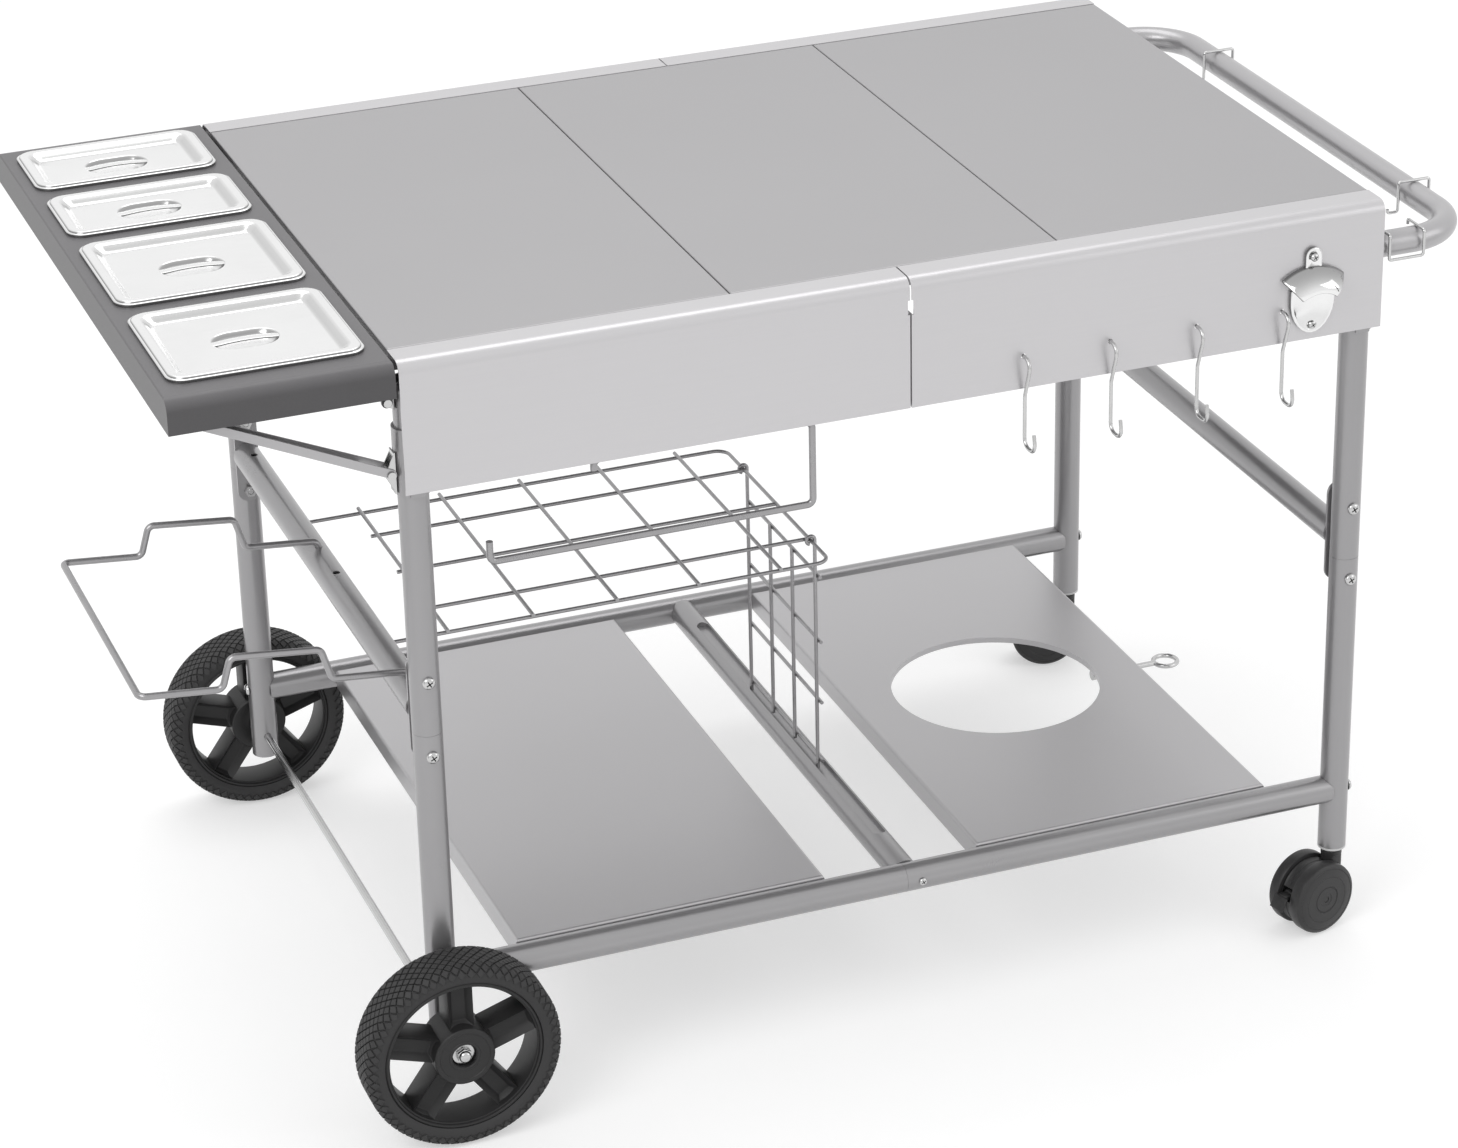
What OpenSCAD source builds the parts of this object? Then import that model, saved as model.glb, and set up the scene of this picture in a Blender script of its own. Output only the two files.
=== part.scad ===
/* [Tabletop] */
// Length of the tabletop
table_len = 956; // [930:1:990]
// Depth of the tabletop panels, front to back
table_depth = 600; // [580:1:620]
// Height of the tabletop above the floor
table_h = 770; // [750:1:790]
// Thickness of the folded sheet
sheet = 1.2; // [1:0.1:1.5]
// Depth of the folded edge under each panel
panel_lip = 18; // [14:1:22]
// Gap between neighbouring panels
panel_gap = 1; // [0.6:0.1:1.4]
/* [Aprons] */
// Height of the aprons
apron_h = 125; // [115:1:135]
// Reach of the aprons' outer face past the panels
apron_out = 35; // [34:0.5:38]
// Outside radius of the apron's top bend
apron_bend = 11; // [8:0.5:14]
// Width of the folded foot along the bottom of an apron
apron_foot = 20; // [16:1:24]
// Gap at the seam between two aprons
seam_gap = 1.6; // [1:0.1:2.5]
/* [Legs and frame tubes] */
// Outside diameter of the legs, rails and cross tubes
tube_d = 28; // [26:0.5:30]
// Wall of the tubes
tube_wall = 1.5; // [1.2:0.1:1.8]
// Distance of the left legs from the tabletop's left end
left_leg_in = 12; // [8:1:16]
// Distance of the right legs from the tabletop's right end
right_leg_in = 17.5; // [15:0.5:24]
// Distance of the legs outside the panels
leg_out = 16; // [15.5:0.1:17]
// Height of the ring where upper and lower legs meet
joint_z = 403; // [395:1:410]
// Height of the cross tubes
cross_z = 420; // [415:1:426]
// Height of the bottom rails
rail_z = 147; // [142:1:152]
// Height of the left legs' lower ends
left_leg_end = 71; // [66:1:76]
// Height of the right legs' lower ends
right_leg_end = 84; // [80:1:88]
/* [Shelves] */
// Start of the left shelf from the tabletop's left end
left_shelf_in = 90; // [80:1:100]
// Distance from the left shelf to the middle tube's centre line
left_shelf_gap = 80; // [74:1:84]
// Distance from the middle tube's centre line to the right shelf
right_shelf_gap = 78; // [74:1:84]
// Height of the shelves' top face
shelf_z = 158; // [154:1:162]
// Diameter of the round hole for a gas bottle
tank_d = 216; // [200:1:230]
/* [Wheels] */
// Diameter of the large wheels
wheel_d = 190; // [180:1:196]
// Width of the large wheels
wheel_w = 50; // [46:1:54]
// Diameter of the axle rod
axle_d = 8; // [7:0.5:9]
// Diameter of the caster discs
caster_d = 75; // [72:1:76]
// Offset of the caster axle from its stem
caster_trail = 25.5; // [22:0.5:28]
// Angle that the casters are turned outwards by
caster_turn = 15; // [0:1:30]
/* [Side tray] */
// Length of the side tray along the cart
tray_len = 202; // [196:1:214]
// Depth of the tray's skirt
tray_skirt = 32; // [28:1:34]
// Gap between the tray and the tabletop
tray_gap = 3; // [2:0.5:5]
// Length of a pan along the cart
pan_len = 176; // [170:1:180]
// Widths of the four pans, front to back
pan_widths = [162, 162, 108, 108];
// Gap between neighbouring pans
pan_web = 24; // [20:1:28]
// Depth of the pans
pan_depth = 38; // [32:1:40]
/* [Wire pieces] */
// Diameter of the rack and grid wire
rack_wire = 3.8; // [3.4:0.1:4]
// Diameter of the bag holder and towel bar wire
holder_wire = 6.5; // [6:0.1:7]
// Reach of the bag holder past the tabletop's left end
bag_reach = 240; // [230:1:250]
/* [Handle] */
// Diameter of the handle tube
handle_d = 25; // [24:0.5:26]
// Reach of the handle's centre line past the tabletop's right end
handle_reach = 99; // [90:1:110]
// Bend radius of the handle's centre line
handle_bend = 60; // [50:1:66]
// Drop of the handle's centre line below the tabletop
handle_drop = 50.5; // [48:0.5:53]
/* [Hidden] */
$fn = 48;
// Overrun of every cut, and the gap between pieces that seat on each other
over = 2;
lap = 0.1;
seat = 0.2;
run = 0.06;
// Hangers: their wire and the half width that reaches furthest to the right
hanger_wire = 3;
hanger_half = 16.5;
// The tabletop's left end, so that the whole cart is centred on the origin
x0 = (bag_reach - table_len - handle_reach - hanger_half - hanger_wire / 2) / 2;
half_d = table_depth / 2;
panel_pitch = table_len / 3;
fold_r = 1.6;
// A way that no wire runs, from which the rings of a swept wire start
skew = [1, 2, 3];
// Aprons: the ledge that carries the panels, the seam and the relief above it
ledge_w = 15;
ledge_drop = panel_lip + seat;
seam_x = x0 + table_len / 2;
seam_flange = 12;
relief_top = 20;
relief_h = 14;
relief_w = 2;
foot_start = 46;
// Legs
tube_r = tube_d / 2;
leg_y = half_d + leg_out;
left_x = x0 + left_leg_in;
right_x = x0 + table_len - right_leg_in;
leg_clear = 4;
leg_top = table_h - panel_lip - leg_clear;
spigot_fit = 0.15;
spigot_r = tube_r - tube_wall - spigot_fit;
spigot_len = 68;
spigot_wall = 1.4;
socket_wall = 2.2;
socket_len = 63;
socket_rim = 4;
socket_pad = 14;
// Cross tubes and their joint plates
plate_t = 3;
plate_w = 24;
plate_h = 104;
plate_round = 11.5;
plate_z = 422;
plate_y = leg_y - tube_r - seat;
upper_bolt_z = 457;
lower_bolt_z = 382;
holder_ys = [-268, -30, 32, 268];
holder_hole = 7.2;
// Fasteners
bolt_d = 6;
head_d = 12;
head_h = 3.6;
nut_w = 11;
nut_h = 5;
screw_d = 4;
screw_head_d = 8;
screw_head_h = 2.6;
screw_end = 2;
// Rails and middle tube
splice_back = 3;
splice_x = seam_x - splice_back;
rail_plug = 12;
rail_spigot = 40;
rail_screw_in = 15;
middle_in = 2;
middle_x = seam_x + middle_in;
saddle_lap = 7;
trough_w = 13;
trough_h = 5;
trough_round = 6.4;
trough_len = 500;
// Shelves
shelf_lip = 20;
shelf_y = leg_y - tube_r - seat;
shelf_fold = 3;
shelf_len = middle_x - x0 - left_shelf_in - left_shelf_gap;
right_shelf_in = middle_x - x0 + right_shelf_gap;
tank_back = 1;
tank_x = x0 + right_shelf_in + shelf_len / 2 - tank_back;
tank_r = tank_d / 2;
tank_rim = 6;
shelf_screw_in = 60;
eye_drop = 12;
eye_z = shelf_z - eye_drop;
eye_rod = 6;
eye_ring = 25;
eye_wire = 5;
eye_out = 39;
eye_gap = 2;
eye_x = x0 + right_shelf_in + shelf_len + eye_out;
eye_tip_x = tank_x + tank_r + eye_gap;
eye_pad_d = 11;
eye_pad_t = 4;
// Rack and grid
rack_drop = 12;
rack_z = cross_z - rack_drop;
rack_y = 144;
rack_inner_y = 88;
rack_back = 7;
rack_x = middle_x - rack_back;
rack_shares = [0.158, 0.341, 0.523, 0.703, 0.885];
rack_bars = [for (s = rack_shares) left_x + s * (rack_x - left_x)];
rack_corner = 14;
weld = 0.4;
wire_r = rack_wire / 2;
bar_over = 5;
ring_gap = 0.4;
ring_turn = 250;
grid_y = rack_inner_y + 2 * wire_r + ring_gap;
grid_inner_y = 30;
grid_ring = 2 * wire_r + ring_gap;
grid_x = rack_x + grid_ring;
grid_bars = [368, 297, 230, 164];
grid_foot_z = 150;
// Towel bar
towel_y = leg_y + 4;
towel_z = table_h - apron_h - holder_wire / 2 - seat;
towel_xs = [178, 387, 78];
towel_drop = 210;
towel_low = table_h - towel_drop;
towel_stub = 10;
towel_tip = 20;
towel_bend = 6;
// Bag holder, its side view as places along the arm and heights over the cross tube
bag_ys = [holder_ys[0], holder_ys[2]];
bag_rise = 6;
bag_rest = tube_r + bag_rise;
bag_plug = 6;
bag_slope = 0.096;
bag_step = 31;
bag_bump_in = 72;
bag_bump_slant = 9;
bag_bump_len = 92;
bag_bend = 7;
bag_sides = 12;
bag_steps = 4;
// Wheels
wheel_r = wheel_d / 2;
wheel_clear = 4;
wheel_y = leg_y + tube_r + wheel_clear + wheel_w / 2;
tyre_in = 76;
tyre_round = 9;
hub_w = 42;
hub_rim = 5;
boss_r = 29;
boss_w = 44;
spoke_w = 23;
spoke_h = 30;
spoke_pocket_w = 13;
spoke_pocket_h = 9;
spoke_root = 2;
spoke_pocket_in = 4;
spokes = 5;
axle_r = axle_d / 2;
cap_r = 7;
cap_step = 1;
washer_r = 11;
washer_t = 1.6;
cup_r = 12;
cup_h = 8;
// Casters
caster_r = caster_d / 2;
disc_w = 15;
disc_round = 4;
hood_w = 16;
hood_r = 34;
stem_d = 9;
stem_len = 34;
boss_d = 21;
boss_drop = 5;
boss_top = right_leg_end - boss_drop;
collar_h = 6;
stem_short = 2;
cheek_t = 2;
disc_gap = 0.6;
axle_in = 1;
plug_flange = 2.5;
caster_axle_d = 6;
lever_in = [-27, 6];
lever_pin = 4;
lever_neck = 13.5;
tab_len = 14;
lever_w = 18;
lever_t = 4;
tab_t = 2;
lever_eye_d = 7;
lever_room = 8;
tab_bend = 62;
// Handle
handle_x = x0 + table_len + handle_reach;
handle_z = table_h - handle_drop;
handle_r = handle_d / 2;
handle_wall = 1.5;
handle_plug = 14;
// Hangers on the handle
hanger_ys = [206, -212];
hanger_tail = 13;
hanger_leg = 30;
hanger_toe = 11;
hanger_tip = 4;
hanger_bend = 2.6;
corner_w = 36;
corner_leg = 25;
corner_tail = 5;
corner_in = 8;
corner_slack = 2;
corner_x = x0 + table_len + corner_in;
// Bottle opener
opener_in = 74.5;
opener_x = x0 + table_len - opener_in;
opener_t = 4;
ear_r = 8;
ear_drop = 41;
shield_r = 21;
shield_swell = 2;
shield_top = 4;
shield_drop = 93;
neck_w = 15;
hood_out = 19;
hood_top_r = 49;
hood_low_r = 27;
hood_centre = 98.7;
hood_half = 41;
opener_screws = [42, 109];
// Hooks in the front apron
hook_ins = [367, 280, 192, 104];
hook_xs = [for (i = hook_ins) x0 + table_len - i];
hook_drop = 93;
hook_wire = 3.6;
hook_hole = 5;
hook_h = 91;
hook_w = 40;
hook_bend = 8.6;
hook_sides = 8;
hook_steps = 5;
hook_shares = [[-0.30, -0.17], [-0.30, 0], [0.44, 0], [0.10, -0.42], [0.10, -0.96], [0.72, -0.96],
    [0.62, -0.76]];
// Side tray and its folding struts
tray_right = x0 - tray_gap;
tray_left = tray_right - tray_len;
tray_half = half_d + apron_out;
tray_bend = 12;
tray_lip = 12;
pivot_x = x0 - 9;
pivot_z = table_h - 39;
strut_z = table_h - 108;
strut_len = 178;
strut_angle = 24.2;
strut_tip_w = 12;
strut_t = 1.5;
strut_low = 3;
strut_high = 5;
strut_open = 24;
bracket_w = 14;
bracket_t = 1.5;
bracket_top = 20;
bracket_foot = 19;
pin_d = 5;
ear_gap = 0.4;
hinge_up = 10;
hinge_down = 8;
nose_share = [0.8, 0.6];
pin_end = 1;
pin_head_h = 1.2;
pin_head_d = 7.4;
catch_in = 17;
catch_w = 14;
catch_len = 16;
catch_gap = 0.3;
// Pans and lids
pan_count = 4;
pan_round = 16;
pan_rim = 8;
pan_fit = 1;
pan_in = 14;
first_pan_in = 79;
lid_round = 10;
cup_round = 19.9;
pan_taper = 6;
slice = 0.02;
pan_t = 1;
rim_t = 1.2;
lid_bead = 2.6;
lid_drop = 5;
lid_flat = 13;
cup_len = 62;
cup_w = 40;
cup_deep = 9;
bar_w = 9;
bar_t = 1.4;
pan_x = tray_right - pan_in - pan_len / 2;
first_pan_y = first_pan_in - half_d - pan_widths[0] / 2;

// Shared shapes
function unit(v) = v / norm(v);
function total(list, n) = n == 0 ? 0 : list[n - 1] + total(list, n - 1);
function turn_at(p, i) = acos(unit(p[i] - p[i - 1]) * unit(p[i + 1] - p[i]));
function setback(p, i, bend) = i == 0 || i == len(p) - 1 ? 0 : bend * tan(turn_at(p, i) / 2);

module both_sides() {
    children();
    mirror([0, 1, 0]) children();
}
module at(x, y, z) translate([x, y, z]) children();
module along_x(x, y, z) translate([x, y, z]) rotate([0, 90, 0]) children();
module along_y(x, y, z) translate([x, y, z]) rotate([-90, 0, 0]) children();

// A ring, or a full circle where the wall is zero
module ring(r, wall) {
    difference() {
        circle(r);
        if (wall > 0) circle(r - wall);
    }
}
module rod(a, b, r, wall = 0) {
    d = unit(b - a);
    if (norm(b - a) > 0.01)
        translate(a) rotate([0, acos(d[2]), atan2(d[1], d[0])])
            linear_extrude(norm(b - a)) ring(r, wall);
}
module bend_at(p, i, r, bend, wall) {
    a = unit(p[i] - p[i - 1]);
    axis = unit(cross(a, p[i + 1] - p[i]));
    inward = cross(axis, a);
    c = p[i] - a * setback(p, i, bend) + inward * bend;
    multmatrix([[-inward[0], a[0], axis[0], c[0]], [-inward[1], a[1], axis[1], c[1]],
        [-inward[2], a[2], axis[2], c[2]], [0, 0, 0, 1]])
        rotate_extrude(angle = turn_at(p, i)) translate([bend, 0]) ring(r, wall);
}
// Wire or tube bent through a list of points
module bent(p, r, bend, wall = 0) {
    for (i = [0 : len(p) - 2]) {
        d = unit(p[i + 1] - p[i]);
        rod(p[i] + d * setback(p, i, bend), p[i + 1] - d * setback(p, i + 1, bend), r, wall);
    }
    if (len(p) > 2) for (i = [1 : len(p) - 2]) bend_at(p, i, r, bend, wall);
}
// The same wire as one skin, where its bends lie at odd angles
function arc_point(p, i, bend, a) = let(u = unit(p[i] - p[i - 1]), axis = unit(cross(u, p[i + 1] - p[i])),
    inward = cross(axis, u), c = p[i] - u * setback(p, i, bend) + inward * bend)
    c - inward * bend * cos(a) + u * bend * sin(a);
function wire_points(p, bend, steps) = concat([p[0]],
    [for (i = [1 : len(p) - 2], k = [0 : steps]) arc_point(p, i, bend, turn_at(p, i) * k / steps)],
    [p[len(p) - 1]]);
function tangent(c, i) = unit(c[min(i + 1, len(c) - 1)] - c[max(i - 1, 0)]);
function across(t, v) = unit(v - t * (t * v));
module swept(p, r, bend, sides, steps) {
    c = wire_points(p, bend, steps);
    n = len(c);
    normals = [for (i = 0, v = across(tangent(c, 0), skew); i < n; i = i + 1,
        v = across(tangent(c, min(i, n - 1)), v)) v];
    points = [for (i = [0 : n - 1], k = [0 : sides - 1])
        c[i] + r * (cos(k * 360 / sides) * normals[i]
            + sin(k * 360 / sides) * cross(tangent(c, i), normals[i]))];
    walls = [for (i = [0 : n - 2], k = [0 : sides - 1], s = [0, 1]) let(a = i * sides + k,
        b = i * sides + (k + 1) % sides) s == 0 ? [a, a + sides, b + sides] : [a, b + sides, b]];
    polyhedron(points, concat([[for (k = [0 : sides - 1]) k]], walls,
        [[for (k = [sides - 1 : -1 : 0]) (n - 1) * sides + k]]));
}
module rounded_rect(l, w, r) {
    square([l - 2 * r, w], center = true);
    square([l, w - 2 * r], center = true);
    for (i = [-1, 1], j = [-1, 1]) translate([i * (l / 2 - r), j * (w / 2 - r)]) circle(r);
}
// Section of a folded sheet: a low rectangle whose two top corners are bent
module fold_section(w, h, r1, r2) {
    difference() {
        square([w, h]);
        corner_waste(0, h, r1);
        translate([w, 0]) mirror([1, 0]) corner_waste(0, h, r2);
    }
}
module corner_waste(x, h, r) {
    translate([x, h]) difference() {
        translate([-over, -r]) square([r + over, r + over]);
        translate([r, -r]) circle(r);
    }
}
module pan_block(l, w, h, r1, r2, ry) {
    intersection() {
        translate([0, w, 0]) rotate([90, 0, 0]) linear_extrude(w) fold_section(l, h, r1, r2);
        rotate([90, 0, 90]) linear_extrude(l) fold_section(w, h, ry, ry);
    }
}
// Sheet pan, open below, with its corner at the origin
module folded_pan(l, w, h, r = fold_r, ry = fold_r) {
    difference() {
        pan_block(l, w, h, r, r, ry);
        translate([sheet, sheet, -over])
            pan_block(l - 2 * sheet, w - 2 * sheet, h - sheet + over, r - sheet, r - sheet, ry - sheet);
    }
}
module domed_head(d, h) {
    intersection() {
        cylinder(d = d, h = h);
        at(0, 0, h - (d * d / 4 + h * h) / (2 * h)) sphere(r = (d * d / 4 + h * h) / (2 * h));
    }
}
// Bolt whose shank runs along +Z from under its head
module bolt(d, len, hd, hh) {
    cylinder(d = d, h = len);
    mirror([0, 0, 1]) domed_head(hd, hh);
}

// Tabletop
module panel(i) {
    at(x0 + i * panel_pitch + panel_gap / 2, -half_d, table_h - panel_lip)
        folded_pan(panel_pitch - panel_gap, table_depth, panel_lip);
}
module apron_sheet() {
    // Coordinates run outwards from the panel's edge and up from the tabletop
    difference() {
        translate([panel_gap, -apron_h]) square([apron_out - panel_gap, apron_h]);
        translate([panel_gap + sheet, -apron_h - over])
            square([apron_out - panel_gap - 2 * sheet, apron_h - apron_bend + over]);
        translate([panel_gap + sheet, -apron_bend - over])
            square([apron_out - panel_gap - sheet - apron_bend, apron_bend + over - sheet]);
        translate([apron_out - apron_bend, -apron_bend]) circle(apron_bend - sheet);
        translate([panel_gap - over, -apron_h - over])
            square([sheet + 2 * over, apron_h + over - ledge_drop]);
        translate([apron_out, 0]) mirror([1, 0]) corner_waste(0, 0, apron_bend);
    }
    translate([panel_gap - ledge_w, -ledge_drop - sheet]) square([ledge_w + sheet, sheet]);
}
// One apron, drawn at the back; its seam end is towards the middle
module apron(x_start, x_end, seam_left) {
    seam_at = seam_left ? x_start : x_end - sheet;
    foot_from = seam_left ? x_start : x_start + foot_start;
    foot_to = seam_left ? x_end - foot_start : x_end;
    difference() {
        union() {
            at(x_start, half_d, table_h) rotate([90, 0, 90]) linear_extrude(x_end - x_start) apron_sheet();
            at(foot_from, half_d + apron_out - apron_foot, table_h - apron_h)
                cube([foot_to - foot_from, apron_foot, sheet]);
            at(seam_at, half_d + apron_out - seam_flange, table_h - apron_h)
                cube([sheet, seam_flange, apron_h - relief_top - relief_h]);
        }
        at(seam_left ? x_start - over : x_end - relief_w, half_d + apron_out - apron_bend,
            table_h - relief_top - relief_h) cube([relief_w + over, apron_bend + over, relief_h]);
    }
}
module left_apron() apron(x0, seam_x - seam_gap / 2, false);
module right_apron() apron(seam_x + seam_gap / 2, x0 + table_len, true);
module front_right() {
    difference() {
        mirror([0, 1, 0]) right_apron();
        for (x = hook_xs) along_y(x, -half_d - apron_out - over, table_h - hook_drop)
            cylinder(d = hook_hole, h = sheet + 2 * over);
        for (z = opener_screws) along_y(opener_x, -half_d - apron_out - over, table_h - z)
            cylinder(d = screw_d + 2 * seat, h = sheet + 2 * over);
    }
}
module sockets() {
    for (x = [left_x, right_x]) both_sides() at(x, leg_y, table_h - apron_h - socket_rim)
        difference() {
            union() {
                cylinder(r = tube_r + seat + socket_wall, h = socket_len);
                at(-socket_pad / 2, 0, 0) cube([socket_pad, 2 * tube_r, socket_len]);
            }
            at(0, 0, -over) cylinder(r = tube_r + seat, h = socket_len + 2 * over);
            at(-tube_d, apron_out - leg_out - sheet - seat, -over)
                cube([2 * tube_d, tube_d, socket_len + 2 * over]);
        }
}

// Legs, drawn at the back and mirrored to the front
module bolt_hole_y(x, z) {
    along_y(x, leg_y - tube_d, z) cylinder(d = bolt_d + 2 * seat, h = 2 * tube_d);
}
module upper_leg(x) {
    difference() {
        at(x, leg_y, joint_z) linear_extrude(leg_top - joint_z) ring(tube_r, tube_wall);
        bolt_hole_y(x, upper_bolt_z);
        if (x == right_x) along_x(x - tube_d, leg_y, handle_z)
            cylinder(d = bolt_d + 2 * seat, h = 2 * tube_d);
    }
}
module lower_leg(x, end_z) {
    difference() {
        union() {
            at(x, leg_y, end_z) linear_extrude(joint_z - seat - end_z) ring(tube_r, tube_wall);
            at(x, leg_y, joint_z - tube_d) linear_extrude(spigot_len + tube_d) ring(spigot_r, spigot_wall);
            at(x, leg_y, joint_z - tube_d) linear_extrude(tube_d / 2) ring(tube_r - tube_wall / 2, tube_wall);
        }
        bolt_hole_y(x, upper_bolt_z);
        bolt_hole_y(x, lower_bolt_z);
        along_x(x - tube_d, leg_y, rail_z) cylinder(d = bolt_d + 2 * seat, h = 2 * tube_d);
        if (x == left_x) along_y(x, leg_y - tube_d, wheel_r) cylinder(d = axle_d + 2 * seat, h = 2 * tube_d);
    }
}
module joint_plate(x) {
    along_y(x, plate_y - plate_t, plate_z) linear_extrude(plate_t) difference() {
        rounded_rect(plate_w, plate_h, plate_round);
        for (z = [upper_bolt_z, lower_bolt_z]) translate([0, plate_z - z]) circle(d = bolt_d + 2 * seat);
    }
}
module cross_tube(x) {
    along_y(x, plate_t - plate_y, cross_z) linear_extrude(2 * (plate_y - plate_t)) ring(tube_r, tube_wall);
    both_sides() joint_plate(x);
}
module left_cross() {
    difference() {
        cross_tube(left_x);
        for (y = holder_ys) at(left_x, y, cross_z) cylinder(d = holder_hole, h = tube_d);
        for (y = [-rack_y, rack_y]) along_x(left_x, y, rack_z) cylinder(r = wire_r + seat, h = tube_d);
    }
}
module bolts() {
    for (x = [left_x, right_x], z = [upper_bolt_z, lower_bolt_z]) both_sides()
        at(x, leg_y + tube_r + seat, z) rotate([90, 0, 0])
            bolt(bolt_d, tube_d + plate_t + nut_h + 3 * seat, head_d, head_h);
    both_sides() along_x(left_x - tube_r - seat, leg_y, rail_z)
        bolt(bolt_d, tube_d + rail_plug, head_d, head_h);
    both_sides() along_x(right_x + tube_r + seat, leg_y, rail_z) mirror([0, 0, 1])
        bolt(bolt_d, tube_d + rail_plug, head_d, head_h);
    both_sides() along_x(right_x - tube_r - seat, leg_y, handle_z)
        bolt(bolt_d, tube_d + handle_plug, head_d, head_h);
}
module nut() {
    difference() {
        cylinder(d = nut_w / cos(30), h = nut_h, $fn = 6);
        at(0, 0, -over) cylinder(d = bolt_d + 2 * run, h = nut_h + 2 * over);
    }
}
module nuts() {
    for (x = [left_x, right_x], z = [upper_bolt_z, lower_bolt_z]) both_sides()
        at(x, plate_y - plate_t - seat, z) rotate([90, 0, 0]) nut();
    along_x(x0 + right_shelf_in + shelf_len - sheet - seat - nut_h, 0, eye_z) nut();
}

// Bottom frame
module rail_half(x_leg, x_splice, spigot) {
    dir = x_splice > x_leg ? 1 : -1;
    len = abs(x_splice - x_leg);
    at(x_leg, leg_y, rail_z) rotate([0, dir * 90, 0]) difference() {
        union() {
            at(0, 0, saddle_lap) linear_extrude(len - saddle_lap - seat / 2) ring(tube_r, tube_wall);
            at(0, 0, saddle_lap) cylinder(r = tube_r - tube_wall / 2, h = tube_r + rail_plug - saddle_lap);
            if (spigot) {
                at(0, 0, len - tube_d) linear_extrude(tube_d + rail_spigot) ring(spigot_r, spigot_wall);
                at(0, 0, len - tube_d) linear_extrude(tube_r) ring(tube_r - tube_wall / 2, tube_wall);
            }
        }
        along_x(-tube_d, 0, 0) cylinder(r = tube_r + seat, h = 2 * tube_d);
        cylinder(d = bolt_d + 2 * seat, h = 2 * tube_d);
    }
}
module rails() {
    difference() {
        rail_half(left_x, splice_x, true);
        rail_screw_cut();
    }
    difference() {
        rail_half(right_x, splice_x, false);
        rail_screw_cut();
    }
}
module rail_screw_cut() {
    along_y(splice_x + rail_screw_in, leg_y, rail_z) cylinder(d = screw_d + 2 * seat, h = tube_d);
    for (x = [left_shelf_in, right_shelf_in], i = [shelf_screw_in, shelf_len - shelf_screw_in])
        along_y(x0 + x + i, leg_y - tube_d, rail_z) cylinder(d = screw_d + 2 * seat, h = tube_d);
}
module trough(grow) {
    at(0, 0, tube_r - trough_h - grow) linear_extrude(tube_r)
        rounded_rect(trough_w + 2 * grow, trough_len + 2 * grow, trough_round + grow);
}
module middle() {
    at(middle_x, 0, rail_z) difference() {
        along_y(0, saddle_lap - leg_y, 0) cylinder(r = tube_r, h = 2 * (leg_y - saddle_lap));
        difference() {
            along_y(0, -leg_y, 0) cylinder(r = tube_r - tube_wall, h = 2 * leg_y);
            trough(tube_wall);
        }
        trough(0);
        both_sides() along_x(-tube_d, leg_y, 0) cylinder(r = tube_r + seat, h = 2 * tube_d);
        both_sides() at(grid_x - middle_x, grid_y, 0) cylinder(r = wire_r + seat, h = tube_d);
    }
}
module shelf(x) {
    difference() {
        at(x, -shelf_y, shelf_z - shelf_lip)
            folded_pan(shelf_len, 2 * shelf_y, shelf_lip, shelf_fold, shelf_fold);
        for (i = [shelf_screw_in, shelf_len - shelf_screw_in])
            along_y(x + i, -shelf_y - over, rail_z)
                cylinder(d = screw_d + 2 * seat, h = 2 * (shelf_y + over));
    }
}
module tank_shelf() {
    difference() {
        union() {
            shelf(x0 + right_shelf_in);
            at(tank_x, 0, shelf_z - tank_rim) cylinder(r = tank_r + sheet, h = tank_rim - sheet / 2);
        }
        at(tank_x, 0, shelf_z - tank_rim - over) cylinder(r = tank_r, h = tank_rim + 2 * over);
        along_x(x0 + right_shelf_in + shelf_len - over - sheet, 0, eye_z)
            cylinder(d = eye_rod + 2 * seat, h = sheet + 2 * over);
    }
}
module screws() {
    for (z = opener_screws) along_y(opener_x, -half_d - apron_out - seat - opener_t - seat, table_h - z)
        bolt(screw_d, opener_t + sheet + tube_wall + screw_end, screw_head_d, screw_head_h);
    for (x = [left_shelf_in, right_shelf_in], i = [shelf_screw_in, shelf_len - shelf_screw_in]) both_sides()
        along_y(x0 + x + i, shelf_y - sheet - seat, rail_z)
            bolt(screw_d, sheet + tube_wall, screw_head_d, screw_head_h);
    both_sides() at(splice_x + rail_screw_in, leg_y + tube_r + seat, rail_z) rotate([90, 0, 0])
        bolt(screw_d, tube_r, screw_head_d, screw_head_h);
}
module eye() {
    along_x(eye_tip_x, 0, eye_z) {
        cylinder(d = eye_rod, h = eye_x - eye_ring / 2 - eye_tip_x);
        cylinder(d = eye_pad_d, h = eye_pad_t);
    }
    at(eye_x, 0, eye_z) rotate_extrude() translate([eye_ring / 2, 0]) circle(d = eye_wire);
}

// Wire pieces
module rack() {
    end_x = left_x + tube_r / 2;
    bent([[end_x, -rack_y, rack_z], [rack_x, -rack_y, rack_z], [rack_x, rack_y, rack_z],
        [end_x, rack_y, rack_z]], wire_r, rack_corner);
    for (y = [-rack_inner_y, 0, rack_inner_y])
        rod([rack_bars[0] - bar_over, y, rack_z], [rack_x, y, rack_z], wire_r);
    for (x = rack_bars)
        rod([x, -rack_y - bar_over, rack_z + 2 * wire_r - weld],
            [x, rack_y + bar_over, rack_z + 2 * wire_r - weld], wire_r);
}
module grid() {
    for (y = [-grid_y, grid_y]) {
        rod([grid_x, y, grid_foot_z], [grid_x, y, rack_z], wire_r);
        at(rack_x, y, rack_z) rotate([90, 0, 0])
            rotate_extrude(angle = ring_turn) translate([grid_ring, 0]) circle(wire_r);
    }
    for (y = [-grid_inner_y, grid_inner_y])
        rod([grid_x, y, grid_bars[3] - bar_over], [grid_x, y, grid_bars[0] + bar_over], wire_r);
    for (z = grid_bars)
        rod([grid_x + 2 * wire_r - weld, -grid_y - bar_over, z],
            [grid_x + 2 * wire_r - weld, grid_y + bar_over, z], wire_r);
}
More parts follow.
